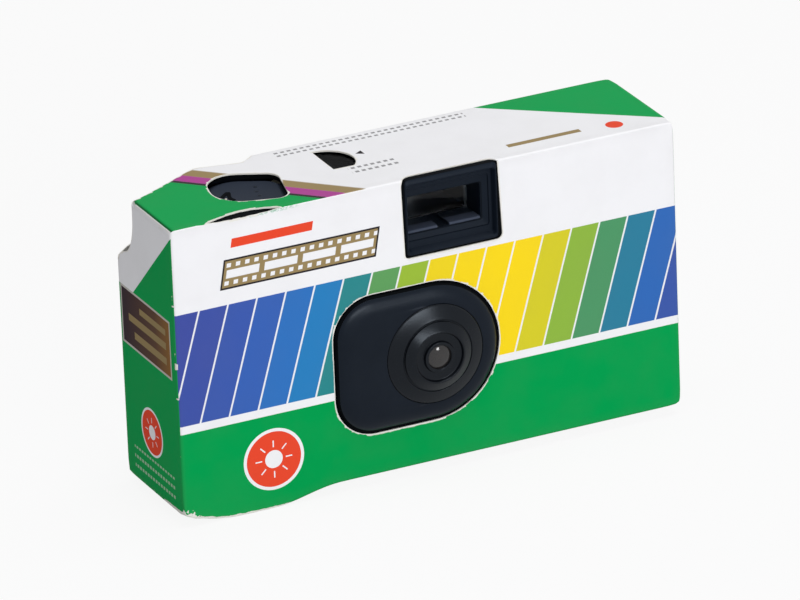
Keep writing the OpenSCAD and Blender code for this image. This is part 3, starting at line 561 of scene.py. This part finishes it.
def weldSheets(points, faces, panel, marks):  # joins the seam and the end panels by distance and keeps the point values
    mesh = bpy.data.meshes.new("cardDraft")
    mesh.from_pydata(points, [], faces)
    mesh.polygons.foreach_set("material_index", panel.astype(np.int32))
    for name, values in marks.items():
        addLayer(mesh, name, values)
    work = bmesh.new()
    work.from_mesh(mesh)
    bmesh.ops.remove_doubles(work, verts=work.verts, dist=card["weld"])
    bmesh.ops.triangulate(work, faces=work.faces)
    work.to_mesh(mesh)
    work.free()
    count, faceCount = len(mesh.vertices), len(mesh.polygons)
    co, tri, slot = np.zeros((count, 3)), np.zeros((faceCount, 3), np.int32), np.zeros(faceCount, np.int32)
    mesh.vertices.foreach_get("co", co.ravel())
    mesh.polygons.foreach_get("vertices", tri.ravel())
    mesh.polygons.foreach_get("material_index", slot)
    kept = {}
    for name, values in marks.items():
        room = np.zeros((count, *values.shape[1:]), np.float32)
        mesh.attributes[name].data.foreach_get(layerKind(values)[1], room.ravel())
        kept[name] = room.astype(float)
    bpy.data.meshes.remove(mesh)
    return co, tri, slot, kept


def slacken(points, normals, crease):  # corners give way, panels wave a little, and the low left corner is crushed
    size = np.array([card[k] for k in ("width", "depth", "height")])
    for corner in np.array(np.meshgrid(*np.stack([0 * size, size], 1))).reshape(3, -1).T:
        near = np.exp(-((points - corner) ** 2).sum(1) / 3)
        points = points + np.sign(size / 2 - corner) * (card["blunt"] * near)[:, None]
    x, y, z = points.T
    wave = np.sin(x / 9.1 + 0.7) * np.sin(z / 7.3 + y / 6.1) + 0.6 * np.sin(x / 4.3 - z / 5.2 + y / 3.9)
    points = points - normals * (card["sag"] * (1 + 0.6 * wave) * (1 - crease))[:, None]
    crushed = bell(x, 5) * bell(y, 3) * bell(z, 3.5) + 0.35 * bell(x - 15, 7) * bell(y, 1.2) * bell(z + 2, 1.6)
    dent = 0.5 + 0.5 * np.sin(x * 2.1 + 1.2 * np.sin(z * 1.9) + y * 1.4)
    return points - normals * (card["crumple"] * crushed * dent)[:, None]


def makeCarton(materials):  # the sheet, its copy moved in by its thickness, and walls along the open edges
    points, faces, panel, kept = weldSheets(*cardMesh())
    normals = unit(kept.pop("out"))
    points = slacken(points, normals, kept["crease"])
    count = len(points)
    inner = points - normals * card["thick"]
    edge = np.concatenate([faces[:, [0, 1]], faces[:, [1, 2]], faces[:, [2, 0]]])
    _, first, uses = np.unique(np.sort(edge, 1), axis=0, return_index=True, return_counts=True)
    start, end = edge[first[uses == 1]].T
    wall = np.concatenate([np.stack([end, start, start + count], 1), np.stack([end, start + count, end + count], 1)])
    allFaces = np.concatenate([faces, faces[:, ::-1] + count, wall])
    slots = np.concatenate([panel, np.full(len(faces) + len(wall), len(materials) - 1)])
    piece = makePiece("printed_carton", toFrame(np.concatenate([points, inner])), allFaces, materials, "printed_card",
                      faceSlots=slots, stands=("carton",), tidy=False)
    for name, values in kept.items():
        addLayer(piece.data, name, np.concatenate([values, values]))
    print("carton open edges", len(start), "edges used more than twice", int((uses > 2).sum()))


# Print on the card

# the seam ink is painted shade for the groove along the end flap's edge
inks = {name: tone(*level) for name, level in {
    "white": (240, 240, 243), "paper": (236, 234, 228), "fleck": (222, 219, 211), "green": (2, 156, 78),
    "red": (232, 74, 48), "gold": (152, 132, 92), "dark": (44, 40, 44), "purple": (172, 70, 146),
    "grey": (150, 150, 152), "silver": (196, 192, 186), "rubbed": (96, 178, 140), "soil": (120, 112, 98),
    "seam": (14, 30, 22)}.items()}


def lay(tint, *coats):  # inks laid one over another through their masks
    for mask, ink in coats:
        tint = mask.over(tint, inks[ink])
    return tint


def patch(u, v, u0, u1, v0, v1):  # mask of a rectangle
    return u.band(u0, u1) * v.band(v0, v1)


def grain(wire, x, y, z, *settings):  # noise in box millimetres
    return wire.noise(wire.make("CombineXYZ", None, {0: x, 1: y, 2: z}), *settings)


def cardFinish(name, draw, gloss):
    material, wire, spot = newFinish(name)
    x, y, z = boxSpot(wire, spot)
    cloud, fibre = wire.noise(spot, 90.0, 4.0), wire.noise(spot, 1500.0, 2.0)
    nick = wire.noise(spot, 420.0, 3.0, 0.7)
    crease, rim, seam = (wire.attribute(key) for key in ("crease", "rim", "seam"))
    # folds are rubbed, most of all along the low left edge
    frayed = (1 - x.step(7.0, 3.0) * 0.3) * x.below(23.0, 4.0) * z.below(1.2, 1.5) * y.below(9.0, 4.0) * 0.66
    scuff = (crease * 0.55 + crease * frayed + nick * 0.8).step(1.09, 0.05)
    # cut rims are chipped, less so on the near side of the button
    clean = x.band(16.5, 32.0, 2.0) * y.band(7.5, 13.5, 1.5) * z.step(63.0, 0.5) * 0.2
    chipped = (rim * (1 - clean) + nick * 0.35).step(0.98, 0.12)
    # the left front fold has three knocks, and teeth torn upwards from the base
    bite = (nick - 0.36) * 8.6 * x.below(6.0, 5.0) - z - x * 0.36
    knocks = z.bands((33.2, 35.2, 0.8), (26.5, 27.3, 0.7), (47.3, 48.0, 0.7)) * crease + nick * 0.9
    knocks = knocks.step(1.25, 0.1).atLeast(bite.step(0, 0.2)) * x.below(7.0, 1.0) * y.below(0.9, 0.4)
    worn = scuff.atLeast(chipped).atLeast(knocks)
    soil = cloud.step(0.56, 0.3) * 0.04 + crease * 0.06
    # the seam ink laid over the flap's edge is painted shade in its groove
    base = lay(draw(wire, x, y, z), (worn, "paper"), (soil, "soil"), (seam * 0.85, "seam"))
    closeFinish(wire, base, 0.4 + cloud * 0.1 + worn * 0.35, fibre * 0.35 + cloud * 0.6 - worn * 0.9, 3e-5,
                Specular_IOR_Level=gloss)
    return material


def ringTurn(u, v, count):  # distance from the middle, and the angle counted in spokes
    far = (u * u + v * v) ** 0.5
    return far, v.sum("ARCTAN2", u) * (count / (2 * math.pi))


def drawSun(tint, u, v, sun, red, white):  # a red disc with a white rim, and on it a small disc with eight rays
    far, turn = ringTurn(u, v, 8)
    ray = ((turn + 0.5).share(1) - 0.5).size()
    rays = (ray * far).below(0.09 * sun, 0.05) * far.band(sun * 1.35, sun * 2.1)
    return lay(tint, (far.below(white), "white"), (far.below(red), "red"), (far.below(sun).atLeast(rays), "white"))


def frontPrint(wire, x, y, z):  # leaning bars in a run of colours, a film strip above, green below with a sun
    lean = (x - z * 0.3 + 8.0) / 6.6
    order = lean.floor()
    shade = ((order + 0.5) / 18).ramp(
        (0.0, (66, 80, 160)), (0.13, (60, 96, 178)), (0.24, (45, 125, 196)), (0.33, (48, 140, 110)),
        (0.41, (140, 184, 64)), (0.48, (248, 216, 34)), (0.66, (248, 216, 34)), (0.74, (150, 186, 60)),
        (0.82, (48, 140, 110)), (0.9, (50, 110, 186)), (1.0, (66, 80, 160)))
    tint = (z.band(20.6, 45.6) * (lean - order).band(0.03, 0.97, 0.02)).over(inks["white"], shade)
    u = x - z * 0.18
    strip = patch(u, z, 2.2, 37.0, 49.4, 55.2)
    holes = u.share(2.1).band(0.25, 0.72, 0.03) * z.bands((49.9, 50.8), (53.8, 54.7))
    pictures = (u - 2.2).share(8.7).band(0.07, 0.93, 0.01) * z.band(51.4, 53.2)
    torn = grain(wire, x, y, z, 1.4, 3.0, 0.7).step(0.5, 0.1)
    tint = lay(tint, (z.below(18.8), "green"), (patch(u, z, 1.8, 37.4, 49.0, 55.6), "dark"), (strip, "gold"),
               (strip * holes.atLeast(pictures), "white"), (patch(u, z, 3.0, 21.5, 58.0, 60.0), "red"),
               (x.band(16.0, 28.0, 3.0) * z.step(63.9, 0.5) * torn * 0.75, "rubbed"))
    return drawSun(tint, x - 21.0, z - 8.8, 2.0, 6.2, 6.9)


def topPrint(wire, x, y, z):  # slanting stripes on the left, a green corner on the right, rows of dashes and an arrow
    slant, ahead = x + y * 0.96, x - 50.9
    rows = x.band(36.0, 80.0) * y.bands((25.1, 25.8), (26.7, 27.4))
    rows = rows.atLeast(x.band(46.0, 57.0) * y.bands((9.0, 9.9), (11.2, 12.1)))
    return lay(inks["white"], (slant.below(34.4), "green"), (slant.band(34.4, 35.8), "dark"),
               (slant.band(35.8, 40.1), "purple"), (slant.step(40.1) * slant.below(44.6, 0.7), "gold"),
               ((x * 0.8 + y).step(95.4), "green"), (((x - 104.6) ** 2 + (y - 5.0) ** 2).below(3.6, 0.3), "red"),
               (patch(x, y, 80.0, 97.0, 5.0, 6.6), "gold"), (x.share(1.5).band(0.12, 0.7, 0.03) * rows, "grey"),
               (ahead.band(0, 1.7) * ((y - 18.4).size() - ahead * 0.62).below(0), "dark"))


def endPrint(wire, x, y, z):  # white above a slant, a dark plate with gold bars, a sun, and small dashes below
    small = y.share(1.3).band(0.1, 0.75, 0.05) * z.share(2.2).band(0.3, 0.62, 0.05) * patch(y, z, 4.0, 24.0, 1.6, 7.8)
    tint = lay(inks["green"], ((z + y * 0.94).step(62.95) * z.step(43.4), "white"), (small * 0.45, "paper"),
               (patch(y, z, 2.6, 27.2, 30.2, 43.4), "silver"))
    shade = (y / 26).ramp((0.05, (150, 108, 54)), (0.4, (96, 70, 56)), (1.0, (56, 44, 52)))
    tint = patch(y, z, 3.1, 26.7, 30.7, 42.9).over(tint, shade)
    bars = ((18.0, 39.4, 40.8), (23.6, 36.2, 37.8), (21.0, 32.8, 34.4))  # far end, low and high edge
    tint = lay(tint, *((patch(y, z, 5.0, *bar), "gold") for bar in bars))
    return drawSun(tint, y - 14.5, z - 14.0, 1.6, 4.9, 5.4)


def backPrint(wire, x, y, z):  # three boxes in a row, each with a plain sign
    tint = lay(inks["white"], (z.below(14.0), "green"), (z.band(15.2, 16.2), "gold"))
    for k, middle in enumerate((24.0, 58.0, 92.0)):
        u, v = x - middle, z - 31.0
        wide, tall, far = u.size(), v.size(), (u ** 2 + v ** 2) ** 0.5
        edge = wide.below(13.0) * tall.below(9.5) * (1 - wide.below(12.3) * tall.below(8.8))
        sign = (far.band(3.4, 4.6), far.below(2.2).atLeast(far.band(4.0, 4.6)), wide.below(4.0) * tall.below(0.6))[k]
        tint = lay(tint, (edge, "green"), (sign, "dark"))
    return tint


def basePrint(wire, x, y, z):
    lines = y.share(2.4).band(0.1, 0.25, 0.02) * patch(x, y, 46.0, 88.0, 7.0, 21.6)
    return lay(inks["white"], (x.below(38.0), "green"), (lines, "grey"))


def plainCard(wire, x, y, z):
    return lay(inks["paper"], (grain(wire, x, y, z, 1.7, 3.0).step(0.5, 0.5), "fleck"))


cardFinishes = [cardFinish(*each) for each in (  # name, print and gloss, with the cut edges and the inside last
    ("frontPrint", frontPrint, 0.02), ("topPrint", topPrint, 0.03), ("backPrint", backPrint, 0.02),
    ("basePrint", basePrint, 0.02), ("leftPrint", endPrint, 0.006), ("rightPrint", endPrint, 0.006),
    ("bareCard", plainCard, 0.02))]
makeCarton(cardFinishes)


# Plastic, metal and film

cool, plain = (0.78, 0.88, 1.0, 1.0), (1.0, 1.0, 1.0, 1.0)
mouldings = {  # colour, roughness, scale of the grain, gloss and its tint
    "satinBlack": ((13, 20, 30), 0.4, 2600.0, 0.1, cool), "bossBlack": ((7, 14, 24), 0.31, 2600.0, 0.15, cool),
    # paintedShadeBlack is painted shade: a darker, duller black for the cover seen in gaps and wells
    "hoodBlack": ((4, 6, 11), 0.24, 2600.0, 0.21, cool), "paintedShadeBlack": ((6, 8, 11), 0.7, 2200.0, 0.02, plain),
    "bodyBlack": ((14, 16, 20), 0.55, 2200.0, 0.1, plain), "buttonGrey": ((42, 48, 59), 0.5, 2400.0, 0.025, plain),
    # paintedLitLedgeGrey is painted light: black ledges made grey as if lit from above
    "paintedLitLedgeGrey": ((62, 69, 84), 0.55, 2400.0, 0.05, plain), "paleMoulding": ((214, 208, 188), 0.5, 2400.0, 0.5, plain)}


def stretch(wire, spot, times):  # the spot drawn out along z
    return wire.make("Mapping", None, {0: spot, "Scale": (1.0, 1.0, times)})


def plasticFinish(name, colour, rough, fineness, gloss, glossTint):
    material, wire, spot = newFinish(name)
    cloud, fine = wire.noise(spot, 140.0, 4.0), wire.noise(spot, fineness, 2.0)
    scuffs = wire.noise(stretch(wire, spot, 6.0), 520.0, 3.0, 0.7).step(0.68, 0.08)
    base = tone(*colour)
    pale = (*(min(c * 1.6 + 0.004, 1.0) for c in base[:3]), 1.0)
    tint = (scuffs * 0.2).over((cloud.step(0.5, 0.6) * 0.35).over(base, pale), pale)
    closeFinish(wire, tint, rough + (cloud - 0.5) * 0.12 + scuffs * 0.08, fine * 0.5 + cloud * 0.3, 1.6e-5,
                Specular_IOR_Level=gloss, Specular_Tint=glossTint)
    return material


def mottledFinish(name, first, second, scale, rough, swing, depth, share=1.0, **fixed):  # two tones mixed by one noise
    material, wire, spot = newFinish(name)
    cloud = wire.noise(spot, scale)
    tint = (cloud * share).over(tone(*first), tone(*second))
    closeFinish(wire, tint, rough + cloud * swing, cloud, depth, **fixed)
    return material


def clearFinish(name, first, second, index, through=1.0):
    return mottledFinish(name, first, second, 260.0, 0.03, 0.05, 2e-6, Transmission_Weight=through, IOR=index)


def counterFinish():  # thirty short ticks round the disc's axis, on a near-black disc whose darkness is painted shade
    material, wire, spot = newFinish("shadedCounterBlack")
    x, y, _ = boxSpot(wire, spot)
    far, turn = ringTurn(x - cuts["counter"][0], y - cuts["counter"][1], 30)
    beside = (turn.share(1) - 0.5).size() * far
    tick = beside.below(0.32, 0.1) * far.band(4.6, 5.8) * beside.step(0.0, 0.3)
    cloud = wire.noise(spot, 300.0)
    tint = (tick * 0.5).over(tone(20, 23, 29), tone(110, 116, 124))
    closeFinish(wire, tint, 0.5 + cloud * 0.1, cloud, 1e-5, Specular_IOR_Level=0.12)
    return material


def metalFinish(name, colour, rough):
    material, wire, spot = newFinish(name)
    drawn = wire.noise(stretch(wire, spot, 12.0), 700.0)
    base = tone(*colour)
    tint = (drawn * 0.4).over(base, (*(c * 0.6 for c in base[:3]), 1.0))
    closeFinish(wire, tint, rough + wire.noise(spot, 180.0) * 0.2, drawn, 6e-6, Metallic=1.0)
    return material


def cassetteFinish():
    material, wire, spot = newFinish("printedTinplate")
    z = boxSpot(wire, spot)[2]
    rub = wire.noise(spot, 300.0, 4.0)
    tint = z.band(12.0, 38.0).over(tone(206, 208, 206), tone(40, 120, 84))
    tint = z.band(20.0, 23.0).over(tint, tone(220, 200, 60))
    tint = rub.step(0.66, 0.06).over(tint, tone(190, 190, 192))
    closeFinish(wire, tint, 0.35 + rub * 0.15, rub, 8e-6)
    return material


plastics = {name: plasticFinish(name, *settings) for name, settings in mouldings.items()}
finishes = {"printed_card": cardFinishes[-1], "black_plastic": plastics["satinBlack"],
            "body_plastic": plastics["bodyBlack"], "button_plastic": plastics["buttonGrey"],
            "pale_plastic": plastics["paleMoulding"],
            "clear_plastic": clearFinish("clearMoulding", (206, 212, 218), (180, 188, 196), 1.24),
            "blackened_metal": metalFinish("blackenedSteel", (52, 52, 54), 0.45),
            "spring_steel": metalFinish("springSteel", (190, 190, 194), 0.22), "counter_plastic": counterFinish(),
            "cassette_paint": cassetteFinish(), "cassette_metal": metalFinish("pressedTin", (198, 198, 200), 0.28),
            "light_trap_felt": mottledFinish("plushFelt", (16, 16, 17), (44, 43, 44), 5200.0, 0.9, 0.08, 1.2e-4),
            "film_base": mottledFinish("filmBase", (96, 58, 38), (70, 44, 32), 160.0, 0.22, 0.12, 4e-6, 0.5)}
special = {"front_cover": plastics["paintedShadeBlack"],  # darker and duller than the cover's own black: painted shade in the gaps and wells where it shows
           # the counter window's grey tint darkens the disc seen through it: painted shade
           "counter_window": clearFinish("shadeTintMoulding", (120, 126, 134), (100, 108, 116), 1.06)}
for part in frame["record"]["subparts"]:
    node = frame["nodes"][part["node"]]
    node.data.materials.clear()
    node.data.materials.append(special.get(part["node"], finishes[part["material_slot"]]))


# Lens boss: the outline drawn in as it rises, a quarter ellipse, then flat to the hood

# below bare degrees the skin stops short, and the cover's painted shade black shows as a dark ring round the boss
boss = {"gap": 0.45, "reach": 4.0, "height": 1.8, "skin": 0.03, "hood": 11.12, "foot": 0.3, "tuck": 0.4, "crown": 0.08,
        "bare": 23.0, "steps": 40, "pitch": 0.5, "rows": 14, "plateRows": 7}  # the cover shows below bare degrees


def makeBoss():
    line = evenLine(bossLine(0, boss["steps"]), boss["pitch"])
    t = np.linspace(np.radians(boss["bare"]), quarter, boss["rows"])
    inset = boss["gap"] + boss["reach"] * (1 - np.cos(t)) - boss["skin"]
    inset = np.concatenate([[inset[0] + boss["tuck"]], inset])
    rise = np.concatenate([[-boss["foot"]], boss["height"] * np.sin(t) + boss["skin"]])
    turn = np.arctan2(line[:, 1] - lensZ, line[:, 0] - lensX)
    ring = onCircle(lensX, lensZ, boss["hood"], turn)
    skirt = line - outwardOf(line) * inset[:, None, None]
    share = np.linspace(0, 1, boss["plateRows"])[1:, None, None]
    plate = skirt[-1] * (1 - share) + ring * share
    flat = np.concatenate([skirt, plate, ring[None]])
    top = rise[-1] + boss["crown"] * np.sin(share[:, 0, 0] * quarter)
    height = np.concatenate([rise, top, [-boss["foot"]]])
    block = np.stack([flat[..., 0], np.broadcast_to(-height[:, None], flat.shape[:2]), flat[..., 1]], -1)
    makeGrid("lens_boss_skin", block, plastics["bossBlack"], "black_plastic")


makeBoss()


# Lens hood: a turned profile of radius and height in front of the card, with its edges eased

hood = {"steps": 160, "ease": 5, "crease": 50, "profile": [  # radius, height, fillet
    (3.7, -2.6, 0), (3.7, 3.3, 0), (2.64, 3.3, 0.05), (2.64, 4.2, 0.08), (2.8, 4.37, 0.08), (3.35, 4.37, 0.12),
    (3.55, 3.65, 0.08), (5.2, 3.75, 0.15), (5.5, 4.38, 0.12), (5.85, 4.3, 0.2), (7.6, 3.42, 0.1), (7.6, 2.95, 0.06),
    (7.95, 2.95, 0.06), (7.95, 3.2, 0.1), (10.8, 2.1, 0.2), (11.0, 1.9, 0.12), (11.0, 0.6, 0.0), (12.4, 0.6, 0),
    (12.4, -0.4, 0), (5.7, -0.4, 0), (5.7, -2.6, 0)]}


def turned(name, line, finish, slot, node, closed):
    turn = fullTurn(hood["steps"])
    r, h = line[:, :1], line[:, 1:]
    x, z = lensX + r * np.cos(turn), lensZ + r * np.sin(turn)
    block = np.stack([x, np.broadcast_to(-h, x.shape), z], -1)
    makeGrid(name, block, finish, slot, closed, stands=(node,), crease=hood["crease"])


turned("lens_hood_rings", roundedLine(hood["profile"], hood["ease"]), plastics["hoodBlack"], "black_plastic",
       "lens_hood", True)


# Front lens: a spherical cap on a short cylinder

lens = {"radius": 3.58, "bend": 8.0, "apex": 4.3, "foot": -0.2, "rows": 24,
        "finish": ("coatedLens", (56, 53, 53), (40, 38, 39), 1.49, 0.45)}


def lensProfile():
    r = lens["radius"] * np.sin(np.linspace(0, quarter, lens["rows"]))
    dome = np.stack([r, lens["apex"] - lens["bend"] + np.sqrt(lens["bend"] ** 2 - r ** 2)], 1)
    return np.concatenate([dome, [[lens["radius"], lens["foot"]], [0, lens["foot"]]]])


turned("front_lens_glass", lensProfile(), clearFinish(*lens["finish"]), "clear_plastic", "front_lens", False)


# Finder frame: rounded rectangles, one behind the other, from the rim to the view opening

finderFrame = {"steps": 6, "crease": 32, "levels": [  # left, right, low, high, corner radius, depth behind the card
    (53.3, 74.5, 47.4, 64.35, 0.9, 1.5), (53.3, 74.5, 47.4, 64.35, 0.9, 0.08), (53.36, 74.44, 47.46, 64.1, 0.9, -0.1),
    (53.46, 74.34, 47.56, 63.55, 0.8, -0.28), (53.62, 74.18, 47.74, 63.25, 0.7, -0.3), (53.8, 74.0, 48.1, 63.0, 0.7, 0.0),
    (53.95, 73.85, 48.5, 62.75, 0.6, 1.2), (54.0, 73.8, 48.6, 62.7, 0.6, 1.3), (54.02, 73.2, 49.9, 61.5, 0.6, 1.42),
    (54.08, 73.1, 50.0, 61.3, 0.5, 1.72), (54.2, 72.2, 50.9, 60.2, 0.5, 1.9), (54.3, 71.9, 51.2, 59.8, 0.5, 1.95),
    (54.4, 71.6, 51.4, 59.6, 0.5, 2.2), (54.4, 71.6, 51.4, 59.6, 0.5, 2.9)]}


def makeFinderFrame():
    outlines = np.array([roundedBox(*level[:5], finderFrame["steps"]) for level in finderFrame["levels"]])
    depth = np.broadcast_to(np.array(finderFrame["levels"])[:, 5:], outlines.shape[:2])
    block = np.stack([outlines[..., 0], depth, outlines[..., 1]], -1)
    makeGrid("finder_frame", block, plastics["satinBlack"], "black_plastic", crease=finderFrame["crease"])


makeFinderFrame()


# Finder ledges: two shallow steps on the floor behind the frame, rounded along their front edge, coloured lighter grey
# than the black plastic as painted light from above

ledges = {"spans": ((54.55, 61.6), (64.4, 71.45)), "section": (2.3, 5.2, 51.42, 51.95), "ease": 0.3, "rows": 6}


def makeLedges():
    (front, back, low, high), e = ledges["section"], ledges["ease"]
    t = np.linspace(0, quarter, ledges["rows"])
    nose = np.stack([front + e * (1 - np.sin(t)), high - e * (1 - np.cos(t))], 1)[::-1]
    line = np.concatenate([[[front, low]], nose, [[back, high], [back, low]]])
    middle = np.broadcast_to(line.mean(0), line.shape)
    rings = np.stack([middle, line, line, middle])  # closed to a point at either end
    xs = [np.broadcast_to(np.array([x0, x0, x1, x1])[:, None, None], (4, len(line), 1)) for x0, x1 in ledges["spans"]]
    blocks = np.stack([np.concatenate([x, rings], -1) for x in xs])
    faces = np.concatenate([gridFaces(4, len(line)) + k * 4 * len(line) for k in range(len(xs))])
    makePiece("finder_ledges", toFrame(blocks), faces, [plastics["paintedLitLedgeGrey"]], "black_plastic")


makeLedges()


# Button: the window's outline drawn in by a gap, with an eased rim and a shallow dish

pad = {"gap": 0.35, "top": 63.0, "rim": 0.3, "foot": 61.4, "lip": 1.1, "shoulder": 0.2, "flange": 1.05,
       "dish": 0.4, "bend": 2.2, "rings": 26, "steps": 14, "pitch": 0.4, "rimRows": 6, "dome": (6, 20),
       "rise": 0.12, "root": 0.12,  # each dot has x, y, radius and finish
       "dots": ((27.1, 16.8, 0.55, 1), (26.4, 14.6, 0.55, 1), (26.0, 12.3, 0.55, 1), (19.0, 13.8, 0.32, 3)),
       "rib": ((18.4, 14.6), (21.3, 17.5), (19.8, 14.0), (20.3, 12.4)), "ribHalf": 0.42, "ribFinish": 2,
       "finger": ((33.5, 19.16), 2.9),  # the flange keeps this far from the counter's finger
       "finishes": ("buttonGrey", "satinBlack", "paintedShadeBlack", "paleMoulding")}


def dishLevel(share):  # a power curve from the middle, at 0, up to the rim, at 1
    return pad["top"] - pad["dish"] * (1 - share ** pad["bend"])


def makeButton():
    base = evenLine(buttonLine(-pad["gap"], pad["steps"]), pad["pitch"])
    middle = base.mean(0)
    t = np.linspace(0, quarter, pad["rimRows"])
    brim, eased = pad["foot"] + pad["lip"], pad["top"] - pad["rim"]
    inset = np.concatenate([[-pad["flange"], -pad["flange"], 0.0, 0.0], pad["rim"] * (1 - np.cos(t))])
    level = np.concatenate([[pad["foot"], brim, brim, eased - pad["shoulder"]], eased + pad["rim"] * np.sin(t)])
    side = base - outwardOf(base) * inset[:, None, None]
    finger, keepOff = pad["finger"]
    away = side - finger
    side = side + unit(away) * np.clip(keepOff - np.linalg.norm(away, axis=-1, keepdims=True), 0, None)
    share = np.linspace(0, 1, pad["rings"])[1:, None, None]
    face = side[-1] * (1 - share) + middle * share
    flat = np.concatenate([np.broadcast_to(middle, side[:1].shape), side, face])
    height = np.concatenate([[pad["foot"]], level, dishLevel(1 - share[:, 0, 0])])
    blocks = [(np.concatenate([flat, np.broadcast_to(height[:, None, None], (*flat.shape[:2], 1))], -1), 0)]
    spokes = side[-1] - middle

    def faceLevel(spots):  # the dish at any spot, from its share of the way out to the rim
        away = spots - middle
        rim = np.interp(np.arctan2(away[..., 1], away[..., 0]), np.arctan2(spokes[:, 1], spokes[:, 0]),
                        np.linalg.norm(spokes, axis=1), period=2 * np.pi)
        return dishLevel(np.clip(np.linalg.norm(away, axis=-1) / rim, 0, 1))

    tilt, turn = np.meshgrid(np.linspace(0, quarter, pad["dome"][0]), fullTurn(pad["dome"][1]), indexing="ij")
    for x, y, radius, finish in pad["dots"]:  # low domes, quarter circles turned about their middle
        root = faceLevel(np.array([x, y])) - pad["root"]
        dome = np.stack([x + radius * np.cos(tilt) * np.cos(turn), y + radius * np.cos(tilt) * np.sin(turn),
                         root + (pad["rise"] + pad["root"]) * np.sin(tilt)], -1)
        blocks.append((np.concatenate([np.broadcast_to([x, y, root], dome[:1].shape), dome]), finish))
    # the rib's black is painted shade, standing in for a small shadowed notch at the button's edge
    line = softLine(pad["rib"], 2)  # a low rib: a four-cornered profile along a bent line
    along = unit(np.gradient(line, axis=0))
    beside = np.stack([-along[:, 1], along[:, 0]], 1)[:, None] * np.array([-1, 1, 1, -1])[:, None] * pad["ribHalf"]
    lift = np.array([-pad["root"], -pad["root"], pad["rise"], pad["rise"]])
    rib = np.concatenate([line[:, None] + beside, (faceLevel(line)[:, None] + lift)[..., None]], -1)
    ends = [np.broadcast_to(ring.mean(0), (1, 4, 3)) for ring in (rib[0], rib[-1])]
    blocks.append((np.concatenate([ends[0], rib, ends[1]]), pad["ribFinish"]))
    tiles = [gridFaces(*block.shape[:2]) for block, _ in blocks]
    offset = np.cumsum([0] + [block.size // 3 for block, _ in blocks])
    makePiece("shutter_button_pad", np.concatenate([toFrame(block) for block, _ in blocks]),
              np.concatenate([faces + k for faces, k in zip(tiles, offset)]), [plastics[key] for key in pad["finishes"]],
              "button_plastic", body="button", stands=("shutter_button",),
              faceSlots=np.concatenate([np.full(len(faces), finish) for faces, (_, finish) in zip(tiles, blocks)]))


makeButton()


# Floor, light and background

studio = {"floor": 6.0, "cells": 9, "paper": tone(216, 216, 218), "shade": tone(210, 210, 213), "mottle": (3.0, 2.0),
          "mottled": 0.2, "sky": 0.38, "shown": 0.9, "white": (1, 1, 1, 1), "aim": (0, 0, 0.03),
          "lamps": (  # place, size, power
              ("keyBox", (0.12, -0.1, 1.2), (0.7, 0.5), 6.3), ("frontBox", (0.02, -1.3, 0.46), (0.84, 0.3), 8.1),
              ("spark", (0.4, -1.29, 0.1), (0.16, 0.16), 1.4))}


def shownRays(wire):  # 1 for what the camera sees, straight or in metal and glass
    seen = [wire.make("LightPath", None, None, k) for k in ("Is Camera Ray", "Is Glossy Ray", "Is Transmission Ray")]
    return seen[0].atLeast(seen[1]).atLeast(seen[2])


def makeFloor():
    half, cells = studio["floor"], studio["cells"]
    mesh = bpy.data.meshes.new("floor")
    u, v = np.meshgrid(np.linspace(-half, half, cells), np.linspace(-half, half, cells), indexing="ij")
    mesh.from_pydata(np.stack([u.ravel(), v.ravel(), np.zeros(u.size)], 1), [], gridFaces(cells, cells, closeCols=False))
    floor = place("floor", mesh)
    material, wire, spot = newFinish("paleFloor")
    mottle = wire.noise(spot, *studio["mottle"]) * studio["mottled"]
    matt = wire.make("BsdfDiffuse", None, {"Color": mottle.over(studio["paper"], studio["shade"])})
    glow = wire.make("Emission", None, {"Color": studio["white"], "Strength": 1.0})
    mixed = wire.make("MixShader", None, {0: shownRays(wire) * studio["shown"], 1: matt, 2: glow})
    wire.make("OutputMaterial", None, {"Surface": mixed})
    mesh.materials.append(material)


def makeLight():
    world = bpy.data.worlds.new("studio")
    world.use_nodes = True
    world.node_tree.nodes.clear()
    air = Wire(world.node_tree)
    strength = studio["sky"] + shownRays(air) * (1 - studio["sky"])
    sky = air.make("Background", None, {"Color": studio["white"], "Strength": strength})
    air.make("OutputWorld", None, {"Surface": sky})
    bpy.context.scene.world = world
    for name, spot, (wide, tall), power in studio["lamps"]:
        lamp = bpy.data.lights.new(name, "AREA")
        lamp.shape, lamp.size, lamp.size_y, lamp.energy = "RECTANGLE", wide, tall, power
        holder = place(name, lamp)
        holder.location = spot
        holder.rotation_euler = (Vector(studio["aim"]) - Vector(spot)).to_track_quat("-Z", "Y").to_euler()
        holder.visible_camera = False
    bpy.context.scene.view_settings.view_transform = "Standard"
    print("studio lit")


makeFloor()
makeLight()
